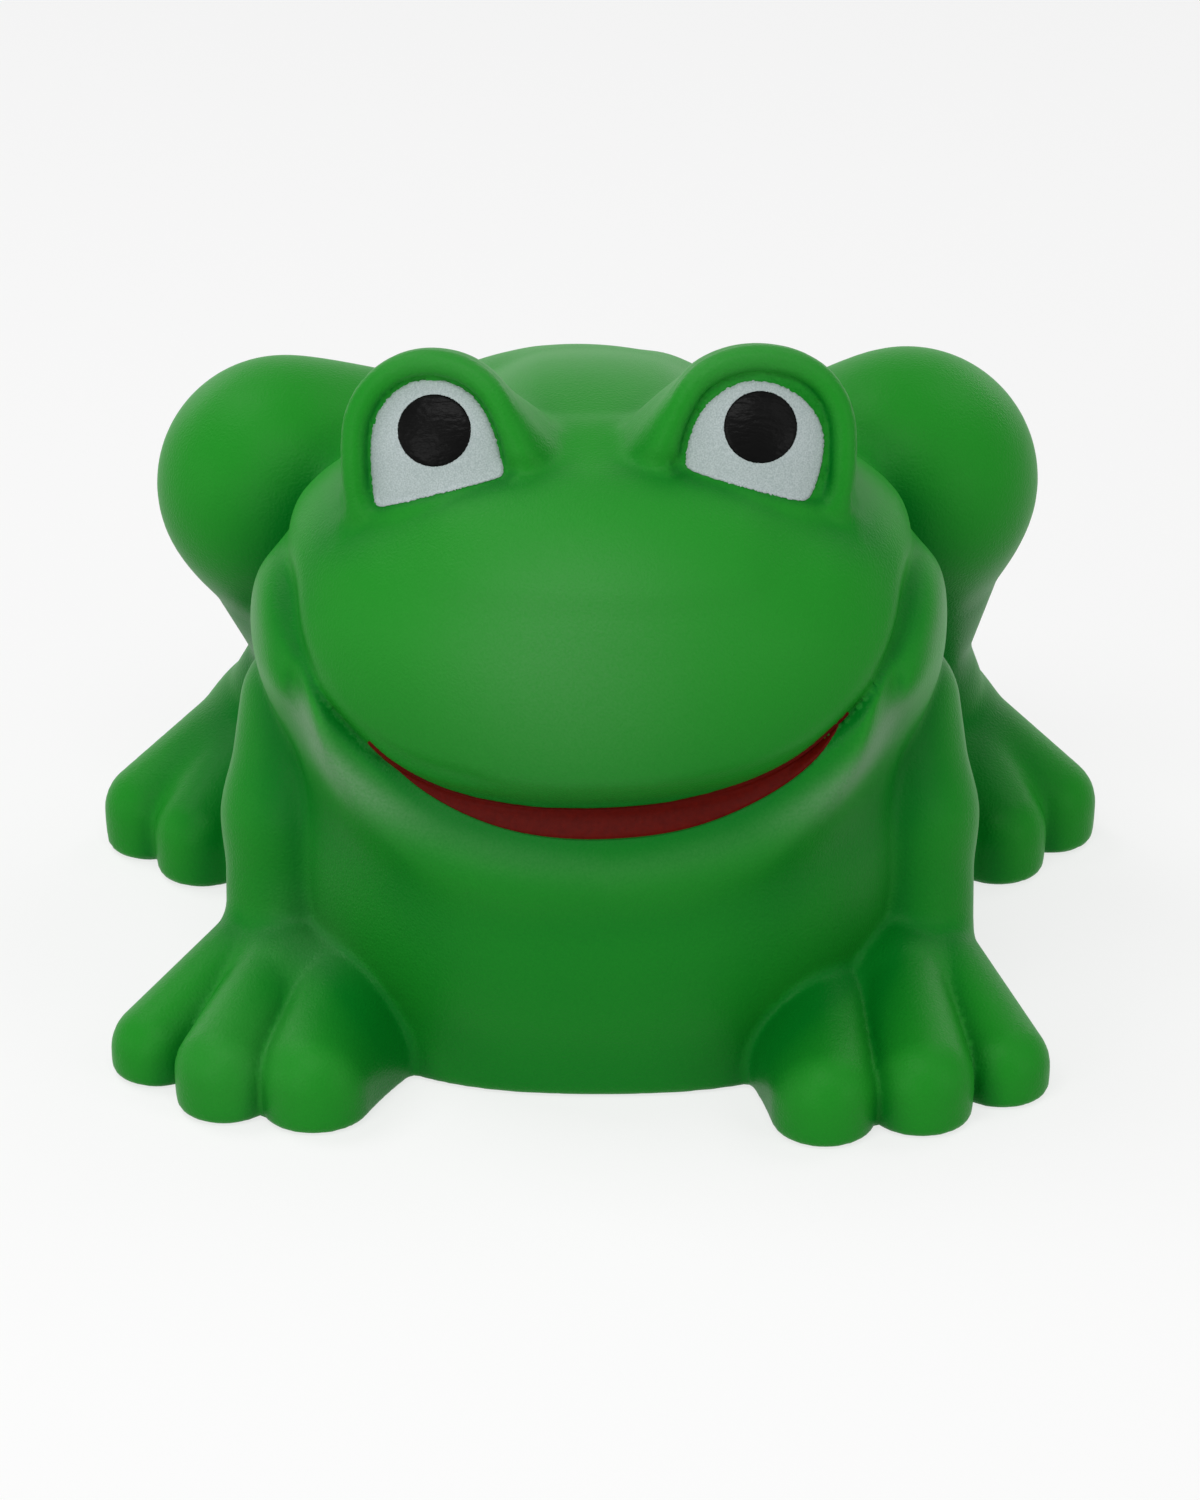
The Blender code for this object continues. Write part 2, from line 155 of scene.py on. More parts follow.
# %% [markdown]
# ## Trunk, legs and feet
#
# The belly is an upright barrel that stands on a flat base. The rump rises behind it, and the nape fills
# the valley up to the head. Each hind leg is a round knee with a thigh back to the hip and a shin down to
# the heel, and each foot is three fat toes with upright sides, as they come out of the mould. Skinned
# edges could make such legs too, but tables of balls with radii are easier to measure and to change. The
# two sides of a foam casting are never quite alike, so each side has its own numbers.

# %% Trunk
BELLY = (point(0, -0.2, 14), point(25.4, 29.3, 30), 2.3)
SKIRT = (point(0, -0.2, 0), point(22.5, 26.3, 17), 2.8)
RUMP = (point(-2.0, 10, 19.85), point(24, 24, 24))
NAPE = (point(-1.3, -3, 35.7), point(13.5, 15.5, 11.6))
SKIRT_FILLET = 3.0
RUMP_FILLET = 6.0
NAPE_FILLET = 3.0


def trunk(p):
    """Belly barrel, wider skirt at the ground, rump egg and nape egg, melted together."""
    lower = melt(barrel(p, *BELLY), barrel(p, *SKIRT), SKIRT_FILLET)
    return melt(melt(lower, egg(p, *RUMP), RUMP_FILLET), egg(p, *NAPE), NAPE_FILLET)


print("distance at the belly's front:", trunk(point(0, -29.5, 14)[None]).round(3))

# %% Hind legs
HIND = {
    -1: {
        "knee": (-24.4, 9, 34.7, 9.1),
        "thigh": (-18.5, 11, 33.4, 8.6),
        "hip": (-13, 21, 24, 10.5),
        "shin": (-22.6, 18, 17, 4.6),
        "heel": (-24.8, 22.5, 6.9, 6.9),
        "toes": ((-36.0, 16.5, 3.75), (-31.6, 11.7, 3.85), (-25.5, 8.7, 3.7)),
    },
    1: {
        "knee": (23.7, 9, 35.1, 9.4),
        "thigh": (18.5, 11, 32.8, 8.6),
        "hip": (13, 21, 24, 10.5),
        "shin": (24.2, 18, 17, 5.0),
        "heel": (25.4, 22.5, 7.2, 6.75),
        "toes": ((36.1, 17.7, 3.75), (31.7, 12.1, 3.85), (25.5, 8.7, 3.7)),
    },
}
HIND_TOE_LEVEL = 3.3
KNEE_FILLET = 3.0
HIND_TOE_FILLET = 1.0


def hind_leg(p, side):
    """Thigh and shin from the knee, and the foot from the heel."""
    names = ("knee", "thigh", "hip", "shin", "heel")
    knee, thigh, hip, shin, heel = ((point(*HIND[side][k][:3]), HIND[side][k][3]) for k in names)
    leg = melt(limb(p, *knee, *thigh), limb(p, *thigh, *hip), KNEE_FILLET)
    leg = melt(leg, limb(p, *knee, *shin), KNEE_FILLET)
    foot = limb(p, *shin, *heel)
    below = standing(p, HIND_TOE_LEVEL)
    for x, y, radius in HIND[side]["toes"]:
        foot = melt(foot, limb(below, *heel, point(x, y, HIND_TOE_LEVEL), radius), HIND_TOE_FILLET)
    return leg, foot


print("hind toes:", {SIDE_NAMES[side]: len(HIND[side]["toes"]) for side in SIDES})

# %% Front legs
FRONT = {
    -1: {
        "toes": (
            ((-19.0, -19.0, 5.0, 4.6), (-21.3, -29.5, 3.0, 3.9)),
            ((-23.6, -17.5, 6.4, 3.4), (-27.9, -28.2, 3.0, 3.75)),
            ((-26.0, -15.0, 6.8, 3.2), (-33.2, -22.4, 1.9, 3.55)),
        ),
        "palm": (-23.0, -18.5),
        "flank": ((-16.4, -22.2, 2.0, 3.0), (-20.8, -28.4, 2.2, 3.3)),
    },
    1: {
        "toes": (
            ((16.2, -20.5, 4.6, 4.4), (16.6, -31.8, 3.0, 3.8)),
            ((22.2, -17.0, 6.6, 3.5), (23.8, -30.0, 3.0, 3.95)),
            ((25.0, -15.0, 6.6, 3.2), (30.0, -25.7, 2.1, 3.65)),
        ),
        "palm": (21.8, -18.5),
        "flank": ((13.0, -22.6, 2.0, 2.7), (16.4, -30.0, 2.2, 3.0)),
    },
}
SHOULDER = (21.3, -8.0, 23.5, 6.0)
ELBOW = (22.9, -11.0, 16.0, 5.5)
WRIST = (23.6, -13.2, 8.0, 4.8)
PALM_LEVEL = 2.0
PALM_RADII = point(5.4, 5.4, 6.6)
ELBOW_FILLET = 1.5
CREASE, WEB, WEB_REACH = 0.45, 1.5, (2, 7)
FLANK_FILLET = 2.6
ANKLE_FILLET = 1.0


def front_leg(p, side):
    """Arm, instep egg and three toes; the fillet between toes falls from web to crease along the foot."""
    mirror = point(side, 1, 1)
    shoulder, elbow, wrist = ((mirror * spot[:3], spot[3]) for spot in (SHOULDER, ELBOW, WRIST))
    arm = melt(limb(p, *shoulder, *elbow), limb(p, *elbow, *wrist), ELBOW_FILLET)
    palm = point(*FRONT[side]["palm"], PALM_LEVEL)
    foot = egg(p, palm, PALM_RADII)
    fork = CREASE + WEB * (1 - ease(length((p - palm)[..., :2]), *WEB_REACH))
    for start, end in FRONT[side]["toes"]:
        foot = melt(foot, toe(p, start, end), fork)
    flank = toe(p, *FRONT[side]["flank"])
    return melt(arm, melt(foot, flank, FLANK_FILLET), ANKLE_FILLET)


print("front toes:", {SIDE_NAMES[side]: len(FRONT[side]["toes"]) for side in SIDES})

# %% [markdown]
# ## The head
#
# A wide muzzle dome sits in the jaw like an egg in a cup. The rim of the cup is the smile: low in front and
# rising to a crease beside each cheek. Seen from the front the smile is half of a superellipse, so one
# formula tells how far any point lies above or below it, and the upper lip, the hollow for the red paint
# and the roll of the lower lip are all profiles across that distance. Sculpting would be freer, but these
# profiles can be measured and changed one at a time.

# %% Smile
SMILE_TOP = 40.0
SMILE_HALF = 22.4
SMILE_DROP = 14.1
SMILE_POWER = 2.6
SMILE_TILT = 0.035


def below_smile(p):
    """Distance from the smile in front view, minus on the muzzle: (r - 1) / |grad r| of a superellipse."""
    n = SMILE_POWER
    x = np.abs(p[..., 0]) / SMILE_HALF
    z = np.maximum(SMILE_TOP - p[..., 2] + SMILE_TILT * p[..., 0], 0) / SMILE_DROP
    r = (x**n + z**n + TINY) ** (1 / n)
    slope_x = (x / r) ** (n - 1) / SMILE_HALF
    slope_z = (z / r) ** (n - 1) / SMILE_DROP
    return (r - 1) / np.sqrt(slope_x**2 + slope_z**2 + TINY)


def along_smile(p):
    """Angle around the smile's middle in degrees: 0 beside the cheek, 90 under the nose."""
    return np.degrees(np.arctan2(SMILE_TOP - p[..., 2], np.abs(p[..., 0]) * SMILE_DROP / SMILE_HALF))


smile_low = SMILE_TOP - SMILE_DROP
print("5 mm under the smile's middle:", below_smile(point(0, -30, smile_low - 5)[None]).round(2))

# %% Cheeks and lower lip
DENT_TURN = 29
DENT_DEEP = 0.4
CHEEK_HIGH, CHEEK_BELOW, CHEEK_WIDE = 0.8, 3.4, 1.7
LIP_HIGH, LIP_HIGHER_ASIDE = 1.0, 0.9
LIP_BELOW, LIP_LOWER_IN_FRONT = 1.9, 4.8
LIP_WIDE, LIP_WIDER_IN_FRONT = 1.75, 0.9
HOLLOW_DEEP, HOLLOW_DEEPER_IN_FRONT = 0.75, 0.55
HOLLOW_BELOW, HOLLOW_LOWER_IN_FRONT = 0.25, 1.3
HOLLOW_WIDE, HOLLOW_NARROWING, HOLLOW_WIDENING = 1.1, 0.68, 1.0
FACE_START = (4, 12)


def lip_roll(below, turn, past_dent):
    """Bell across the lip: lower and wider in front, higher beside the cheeks, from the dent onwards."""
    ridge = LIP_BELOW + LIP_LOWER_IN_FRONT * ease(turn, 32, 74)
    spread = LIP_WIDE + LIP_WIDER_IN_FRONT * ease(turn, 36, 72)
    high = LIP_HIGH + LIP_HIGHER_ASIDE * (1 - ease(turn, 50, 80))
    return high * bump(below, ridge, spread) * ease(past_dent, -6, 6)


def mouth_hollow(below, turn):
    """Bell under the muzzle: narrow at the corner of the mouth, deeper and wider in front."""
    deep = HOLLOW_DEEP + HOLLOW_DEEPER_IN_FRONT * ease(turn, 52, 75)
    wide = HOLLOW_WIDE - HOLLOW_NARROWING * ease(turn, 20, 34) + HOLLOW_WIDENING * ease(turn, 50, 72)
    middle = HOLLOW_BELOW + HOLLOW_LOWER_IN_FRONT * ease(turn, 38, 68)
    return deep * bump(below, middle, wide) * ease(turn, 2, 18)


def jaw_relief(p):
    """Height over the jaw: cheek bulge and lip roll, less the dent between them and the mouth's hollow."""
    below = below_smile(p)
    turn = along_smile(p)
    past_dent = turn - DENT_TURN - 4.0 * np.clip(below, 0, 3) - 1.5 * np.clip(below - 3, 0, 4)
    cheek = CHEEK_HIGH * bump(below, CHEEK_BELOW, CHEEK_WIDE)
    cheek = cheek * (1 - ease(past_dent, -9, 2)) * ease(turn, -12, 12)
    dent = DENT_DEEP * bump(past_dent, -1, 5) * ease(below, 0.4, 2.2) * (1 - ease(below, 3.5, 6))
    relief = cheek + lip_roll(below, turn, past_dent) - dent - mouth_hollow(below, turn)
    return relief * ease(-p[..., 1], *FACE_START)


print("relief on the lip in front:", jaw_relief(point(0, -30, 20)[None]).round(2))

# %% Muzzle and jaw
ROOF_LEVEL, ROOF_FRONT, ROOF_FALL, ROOF_STEEP = 47.6, -15, 0.26, 1.04
ROOF_ROUND = 5.0
MUZZLE_MIDDLE = point(0, -10, 32.4)
MUZZLE_WIDE, MUZZLE_NARROWING = 25.3, 1.5
MUZZLE_DEEP = 21.4
MUZZLE_TALL, MUZZLE_FLATTENING = 18.8, 1.0
UPPER_LIP_STEEP = 0.95
UPPER_LIP_ROUND, UPPER_LIP_SHARPENING = 2.4, 1.5
RIGHT_LIP_RAISE = 0.7
JAW = (point(0, -9.8, 30.62), point(25.9, 20.4, 17.06))
JAW_FILLET, THROAT_FILLET = 0.5, 3.5


def under_roof(shape, p):
    """The shape cut off by a plane that falls backwards from the brow."""
    over = p[..., 2] - ROOF_LEVEL + ROOF_FALL * (p[..., 1] - ROOF_FRONT)
    return carve(shape, over / ROOF_STEEP, ROOF_ROUND)


def muzzle_dome(p):
    """Egg that narrows upwards, cut off by the roof behind the eyes and by the smile below."""
    x = p[..., 0]
    z = p[..., 2]
    wide = MUZZLE_WIDE - MUZZLE_NARROWING * ease(z, 36, 44)
    tall = MUZZLE_TALL - MUZZLE_FLATTENING * ease(z, 26, 44)
    muzzle = egg(p, MUZZLE_MIDDLE, np.stack([wide, MUZZLE_DEEP + 0 * z, tall], -1))
    raised = RIGHT_LIP_RAISE * ease(-x, 6, 11) * (1 - ease(-x, 16.5, 20))
    edge = UPPER_LIP_ROUND - UPPER_LIP_SHARPENING * ease(np.abs(x), 7, 16)
    return carve(under_roof(muzzle, p), UPPER_LIP_STEEP * (below_smile(p) + raised), edge)


def with_jaw(body, p):
    """The body with the jaw melted into its front, and the relief of cheeks and lip on both."""
    jaw = under_roof(egg(p, *JAW), p)
    return melt(body, jaw, JAW_FILLET + THROAT_FILLET * ease(-p[..., 1], 12, 19)) - jaw_relief(p)


print("distance at the muzzle's front:", muzzle_dome(point(0, -31.4, 32)[None]).round(3))

# %% [markdown]
# ## Eye hoods
#
# Each eye is a hood that stands on the head, with a rolled rim around a D-shaped front. The front is part
# of a ball, sunk a little into the head, and the white and the pupil lie on it. Towards the nose the hood
# flares out into the brow, and under the eye the rim sinks away. An outline in polar form gives the
# distance from the rim, and the wall behind the rim narrows backwards. A torus cut by a ball would
# be simpler, but the real outline is neither round nor the same on both sides.

# %% Outlines of the hoods and the whites
HOOD_OUTLINE = {
    -1: (
        (4.6, 0.7), (4.4, 2.4), (3.6, 3.9), (2.3, 5.0), (0.8, 5.5), (-0.9, 5.45), (-2.2, 5.0), (-3.3, 4.2),
        (-4.1, 3.1), (-4.8, 1.7), (-5.4, -0.1), (-5.65, -1.05), (-5.3, -1.4), (-1.3, -2.65), (2.9, -3.95),
        (3.85, -4.15), (4.15, -3.6), (4.4, -2.2),
    ),
    1: (
        (4.9, 0.7), (4.7, 2.4), (3.9, 3.9), (2.5, 4.95), (0.8, 5.45), (-0.9, 5.55), (-2.5, 5.2),
        (-3.9, 4.45), (-4.9, 3.1), (-5.6, 1.7), (-6.1, -0.1), (-6.25, -0.95), (-5.8, -1.35), (-1.5, -2.7),
        (2.9, -3.95), (4.1, -4.15), (4.4, -3.6), (4.7, -2.2),
    ),
}
WHITE_OUTLINE = {
    -1: HOOD_OUTLINE[-1],
    1: (
        (4.65, 0.2), (4.5, 1.5), (3.75, 3.0), (2.45, 4.2), (0.75, 4.95), (-0.95, 5.15), (-2.65, 4.65),
        (-4.0, 3.7), (-5.0, 2.4), (-5.55, 1.0), (-5.85, -0.2), (-5.9, -0.9), (-5.45, -1.3), (-1.35, -2.7),
        (1.85, -3.75), (2.95, -3.95), (3.55, -3.5), (4.25, -1.9),
    ),
}
HOOD_CUTS, WHITE_CUTS = 4, 3
TABLE_ANGLES = 721


def rounded(outline, times):
    """Corner cutting: every side keeps the points at a quarter and three quarters."""
    for _ in range(times):
        after = np.roll(outline, -1, 0)
        pair = [0.75 * outline + 0.25 * after, 0.25 * outline + 0.75 * after]
        outline = np.stack(pair, 1).reshape(-1, 2)
    return outline


def polar_table(outline):
    """The outline as a reach, and how fast it changes, for each angle of a table."""
    angle = np.arctan2(outline[:, 1], outline[:, 0])
    order = np.argsort(angle)
    table = np.linspace(-np.pi, np.pi, TABLE_ANGLES)
    reach = np.interp(table, angle[order], np.hypot(*outline[order].T), period=2 * np.pi)
    return table, reach, np.gradient(reach, table)


HOOD_TABLE = {side: polar_table(rounded(np.array(HOOD_OUTLINE[side]), HOOD_CUTS)) for side in SIDES}
WHITE_TABLE = {side: polar_table(rounded(np.array(WHITE_OUTLINE[side]), WHITE_CUTS)) for side in SIDES}
print("widest reach of the hoods:", {SIDE_NAMES[s]: float(HOOD_TABLE[s][1].max().round(2)) for s in SIDES})

# %% Eye axes and the ball under the white
EYE_MIDDLE = {1: point(11.15, -11.9, 47.0), -1: point(-11.6, -11.9, 46.65)}
EYE_UP = math.radians(14)
EYE_OUT = math.radians(8)
DOME_RADIUS = 11.0
DOME_CENTRE = (-0.8, -0.6)
DOME_TOP = 6.9


def eye_axes(side):
    """Rows: away from the nose, up the eye, out of the face."""
    out = point(side * math.sin(EYE_OUT), -math.cos(EYE_OUT), math.tan(EYE_UP))
    out /= np.linalg.norm(out)
    across = np.cross(point(0, 0, 1), out)
    across /= np.linalg.norm(across)
    return np.stack([side * across, np.cross(out, across), out])


def dome(a, b):
    """Height of the ball under the white: sqrt(R^2 - r^2) - R + top, with r from the ball's own centre."""
    square = (a - DOME_CENTRE[0]) ** 2 + (b - DOME_CENTRE[1]) ** 2
    return np.sqrt(np.maximum(DOME_RADIUS**2 - square, 1)) - DOME_RADIUS + DOME_TOP


def outside_of(table, a, b):
    """Distance outside the outline: (r - R) R / sqrt(R^2 + R'^2), with R the reach at this angle."""
    angle = np.arctan2(b, a)
    angles, reaches, slopes = table
    reach = np.interp(angle, angles, reaches)
    slope = np.interp(angle, angles, slopes)
    return (np.hypot(a, b) - reach) * reach / np.hypot(reach, slope)


print("out of the left eye:", eye_axes(1)[2].round(3))

# %% Hood
ROLL_RADIUS = 0.97
SEAT_MARGIN, SEAT_OVERLAP = 0.3, 0.1
ROLL_MIDDLE = ROLL_RADIUS + SEAT_MARGIN - SEAT_OVERLAP
ROLL_LIFT = 0.15
HOOD_DEEPEST = 20
TAPER, TAPER_POWER = 0.05, 1.8
FLARE, FLARE_GROWTH, FLARE_START, FLARE_END = 1.1, 0.2, 4, 9
BROW_RAMP, BROW_FALL = 1.0, 0.3
WALL_ROUND, WALL_ROUND_AT_NOSE, WALL_LEAN = 0.6, 1.2, 0.15
RIM_SINK, LID_LEVEL, LID_SLOPE = 2.5, 3.05, 0.311
SEAT_DEPTH, SEAT_ROUND, SEAT_FILLET = 0.15, 0.5, 1.1
RIM_FILLET, RIM_FILLET_AT_NOSE = 0.3, 1.7
HOOD_FILLET, HOOD_FILLET_OUTSIDE = 0.9, 1.3


def hood_shape(a, b, c, side):
    """Wall that narrows by taper * depth^power behind the front, and a rolled rim around the front.

    The front's height is the dome's at the nearest point inside the outline. Towards the nose the wall
    flares and ramps up to the brow. Under the lid's line the rim sinks into the wall.
    """
    edge = outside_of(HOOD_TABLE[side], a, b)
    outside = np.maximum(edge, 0)
    inwards = 1 / (1 + outside / np.maximum(np.hypot(a, b) - edge, 1))
    front = dome(a * inwards, b * inwards)
    depth = np.clip(front - c, 0, HOOD_DEEPEST)
    to_nose = ease(-a, 0.5, 5.0) * (1 - ease(b, -0.5, 5.5))
    flare = to_nose * (FLARE + FLARE_GROWTH * np.minimum(depth, FLARE_START))
    flare = flare * (1 - ease(depth, FLARE_START, FLARE_END))
    width = ROLL_MIDDLE + ROLL_RADIUS - TAPER * depth**TAPER_POWER + flare
    ramp = to_nose * (BROW_RAMP - BROW_FALL * np.maximum(edge - ROLL_MIDDLE, 0)) * ease(edge, 0.2, 1.0)
    over = c - front - ramp + WALL_LEAN * outside
    wall = carve(edge - width, over, WALL_ROUND + WALL_ROUND_AT_NOSE * to_nose)
    sunk = RIM_SINK * ease(-(b + LID_LEVEL + LID_SLOPE * a), -0.5 - to_nose, 3.0 - to_nose)
    roll = np.hypot(edge - ROLL_MIDDLE, c - front - ROLL_LIFT + sunk) - ROLL_RADIUS
    at_rim = ease(edge, ROLL_MIDDLE - 0.3, ROLL_MIDDLE + 0.7)
    return melt(wall, roll, RIM_FILLET + RIM_FILLET_AT_NOSE * to_nose * at_rim)


def with_eye(head, p, side):
    """The head with a seat for the white sunk into it and one hood melted on."""
    a, b, c = np.moveaxis((p - EYE_MIDDLE[side]) @ eye_axes(side).T, -1, 0)
    inside_white = outside_of(WHITE_TABLE[side], a, b) - SEAT_MARGIN
    seat = carve(inside_white, dome(a, b) - SEAT_DEPTH - c, SEAT_ROUND)
    head = carve(head, -seat, SEAT_FILLET)
    return melt(head, hood_shape(a, b, c, side), HOOD_FILLET + HOOD_FILLET_OUTSIDE * ease(a, -3.0, 3.0))


print("rim of", 2 * ROLL_RADIUS, "mm, its middle", round(ROLL_MIDDLE, 2), "mm outside the outline")

# %% [markdown]
# ## One casting
#
# On the real toy all of this is one piece, poured through a round hole underneath. A Boolean union of
# separate lumps would leave sharp seams, so the lumps are melted into one field in the order of the body:
# trunk, legs, jaw, and then the head, which lies on the jaw with only a crease between them. The ground
# cuts the field flat.

# %% The whole frog
LEG_FILLET, FOOT_FILLET, ARM_FILLET = 2.0, 1.0, 0.8
HEAD_CREASE = 0.4
TEMPLE_FILLET, VALLEY_FILLET, NAPE_VALLEY_FILLET = 3.0, 3.5, 5.0
BASE_ROUND = 0.9
HOLE_Y = 14.0
HOLE_RADIUS = 5.0
HOLE_DEPTH = 2.4
HOLE_ROUND = 0.4


def head_fillet(p):
    """Fillet between head and body: a crease at the smile, wider at the temples and between the hoods."""
    aside = np.abs(p[..., 0])
    z = p[..., 2]
    temple = TEMPLE_FILLET * ease(z, 36, 41) * ease(aside, 11, 19)
    valley = VALLEY_FILLET * ease(z, 38, 42) * (1 - ease(aside, 10, 16))
    valley = valley + NAPE_VALLEY_FILLET * ease(p[..., 1], -19, -11) * (1 - ease(aside, 4, 10))
    return HEAD_CREASE + np.maximum(temple, valley)


def frog(p):
    """Trunk, legs and head melted together, cut flat at the ground, with the pour hole underneath."""
    body = trunk(p)
    for side in SIDES:
        leg, foot = hind_leg(p, side)
        body = melt(melt(body, leg, LEG_FILLET), foot, FOOT_FILLET)
        body = melt(body, front_leg(p, side), ARM_FILLET)
    body = with_jaw(body, p)
    head = muzzle_dome(p)
    for side in SIDES:
        head = with_eye(head, p, side)
    body = melt(body, head, head_fillet(p))
    body = carve(body, -p[..., 2], BASE_ROUND)
    hole = np.hypot(p[..., 0], p[..., 1] - HOLE_Y) - HOLE_RADIUS
    return carve(body, -np.maximum(hole, p[..., 2] - HOLE_DEPTH), HOLE_ROUND)


print("distance at the muzzle's middle:", frog(point(0, -31.4, 32)[None]).round(3))

# %% [markdown]
# ## From field to mesh
#
# Surface nets turn a field into quads: one vertex in every grid cell that the surface passes through, at
# the mean of its edge crossings, and one quad for every grid edge that crosses. The field is first tried on
# coarse blocks, and only blocks near the surface are worked out in full. Newton steps along the
# gradient then pull every vertex onto the surface, which removes the staircase. Metaballs would give
# such a mesh too, but only for balls and boxes.

# %% Evaluate in slices
SLICE = 150000
PROBE = 0.02
NEWTON_STEPS, LONGEST_STEP, FLATTEST = 3, 0.4, 0.05


def in_slices(function, p):
    """function(p) for many points, a slice at a time so that memory stays small."""
    return np.concatenate([function(p[i : i + SLICE]) for i in range(0, len(p), SLICE)])


def gradient(field, p, step=PROBE):
    """Central differences along the three axes."""
    parts = []
    for axis in np.eye(3) * step:
        parts.append((field(p + axis) - field(p - axis)) / (2 * step))
    return np.stack(parts, -1)


def onto_surface(field, p):
    """Newton: p - d grad / |grad|^2, a few times, with no step over the longest."""
    for _ in range(NEWTON_STEPS):
        slope = in_slices(lambda q: gradient(field, q), p)
        push = in_slices(field, p) / np.maximum((slope * slope).sum(-1), FLATTEST)
        p = p - np.clip(push, -LONGEST_STEP, LONGEST_STEP)[:, None] * slope
    return p


print("gradient in front of the belly:", gradient(frog, point(0, -31, 12)[None]).round(2))

# %% Field values near the surface
BLOCK = 4
FAR = 9.0
NEAR_SHARE, NEAR_MORE = 1.5, 1


def spread_blocks(blocks, shape):
    """One value for each block, repeated over all grid points of the block."""
    for axis in range(3):
        blocks = np.repeat(blocks, BLOCK, axis)
    return blocks[: shape[0], : shape[1], : shape[2]]


def field_on_grid(field, lines):
    """Values at every grid point: exact near the surface, and plus or minus far away from it."""
    shape = tuple(len(line) for line in lines)
    firsts = [np.arange(0, n, BLOCK) for n in shape]
    lasts = [np.minimum(f + BLOCK, n - 1) for f, n in zip(firsts, shape)]
    middles = [(line[f] + line[l]) / 2 for line, f, l in zip(lines, firsts, lasts)]
    halves = [(line[l] - line[f]) / 2 for line, f, l in zip(lines, firsts, lasts)]
    reach = np.sqrt(sum(h**2 for h in np.meshgrid(*halves, indexing="ij")))
    centres = np.stack(np.meshgrid(*middles, indexing="ij"), -1)
    coarse = in_slices(field, centres.reshape(-1, 3)).reshape(centres.shape[:3])
    near = spread_blocks(np.abs(coarse) < reach * NEAR_SHARE + NEAR_MORE, shape)
    values = spread_blocks(np.where(coarse < 0, -FAR, FAR), shape).copy()
    spots = np.stack([line[i] for line, i in zip(lines, np.nonzero(near))], -1)
    values[near] = in_slices(field, spots)
    return values


print("grid points in a block:", BLOCK**3)

# %% Vertices of the net
CORNERS = [(i, j, k) for i in (0, 1) for j in (0, 1) for k in (0, 1)]
CELL_EDGES = [(corner, axis) for corner in CORNERS for axis in range(3) if not corner[axis]]


def crossed_cells(inside):
    """Places of the cells with corners on both sides, and a grid with the number of each."""
    cut = tuple(n - 1 for n in inside.shape)
    windows = [inside[tuple(slice(c, c + n) for c, n in zip(corner, cut))] for corner in CORNERS]
    count = sum(window.astype(np.int8) for window in windows)
    crossed = (count > 0) & (count < len(CORNERS))
    cells = np.stack(np.nonzero(crossed), -1)
    number = np.full(crossed.shape, -1)
    number[crossed] = np.arange(len(cells))
    return cells, number


def cell_points(values, lines, cells):
    """Mean of the points where the twelve edges of a cell cross the surface: a + (b - a) va / (va - vb)."""
    total = np.zeros((len(cells), 3))
    hits = np.zeros(len(cells))
    for corner, axis in CELL_EDGES:
        low = cells + np.array(corner)
        high = low + np.eye(3, dtype=int)[axis]
        low_value = values[tuple(low.T)]
        high_value = values[tuple(high.T)]
        hit = (low_value < 0) != (high_value < 0)
        share = np.where(hit, low_value / np.where(hit, low_value - high_value, 1), 0)
        start = np.stack([line[i] for line, i in zip(lines, low.T)], -1)
        end = np.stack([line[i] for line, i in zip(lines, high.T)], -1)
        total += np.where(hit[:, None], start + (end - start) * share[:, None], 0)
        hits += hit
    return total / hits[:, None]


print("edges of a cell:", len(CELL_EDGES))

# %% Quads of the net
AROUND = ((-1, -1), (0, -1), (0, 0), (-1, 0))


def edge_quads(inside, number):
    """For each grid edge that crosses, the four cells around it, turned so that the face looks outwards."""
    quads = []
    for axis in range(3):
        before = np.delete(inside, -1, axis)
        after = np.delete(inside, 0, axis)
        u, w = (axis + 1) % 3, (axis + 2) % 3
        edge = np.stack(np.nonzero(before != after), -1)
        leaving = before[tuple(edge.T)]
        ring = []
        for du, dw in AROUND:
            cell = edge.copy()
            cell[:, u] += du
            cell[:, w] += dw
            ring.append(number[tuple(cell.T)])
        ring = np.stack(ring, -1)
        quads.append(np.where(leaving[:, None], ring, ring[:, ::-1]))
    return np.concatenate(quads)


def surface_nets(field, lines):
    """One vertex per crossed cell, pulled onto the surface, and one quad per crossed grid edge."""
    values = field_on_grid(field, lines)
    inside = values < 0
    cells, number = crossed_cells(inside)
    points = onto_surface(field, cell_points(values, lines, cells))
    return points, edge_quads(inside, number)


print("cells around an edge:", len(AROUND))

# %% [markdown]
# ## Skin
#
# The skin is what is seen of the toy. An even grid would spend most of its faces on the smooth back. This
# one is fine in front, where the face and the toes have small creases, and grows coarser towards the back,
# so that the piece stays below 200,000 triangles.

# %% Skin
FINE, QUICK = 0.45, 0.8
BACK_STRETCH = 2.6
FINE_UNTIL = -6


def new_piece(name, points_mm, faces):
    """A smooth mesh object at the origin; points are in millimetres."""
    mesh = bpy.data.meshes.new(name)
    mesh.from_pydata((points_mm * MM).tolist(), [], faces)
    mesh.validate()
    mesh.shade_smooth()
    piece = bpy.data.objects.new(name, mesh)
    bpy.context.scene.collection.objects.link(piece)
    return piece


def stretched_line(low, high, fine, coarse, turn):
    """Grid line with steps of fine up to turn, growing to coarse at the far end."""
    steps = [low]
    while steps[-1] < high:
        share = np.clip((steps[-1] - turn) / (high - turn), 0, 1)
        steps.append(steps[-1] + fine + (coarse - fine) * share)
    return np.array(steps)


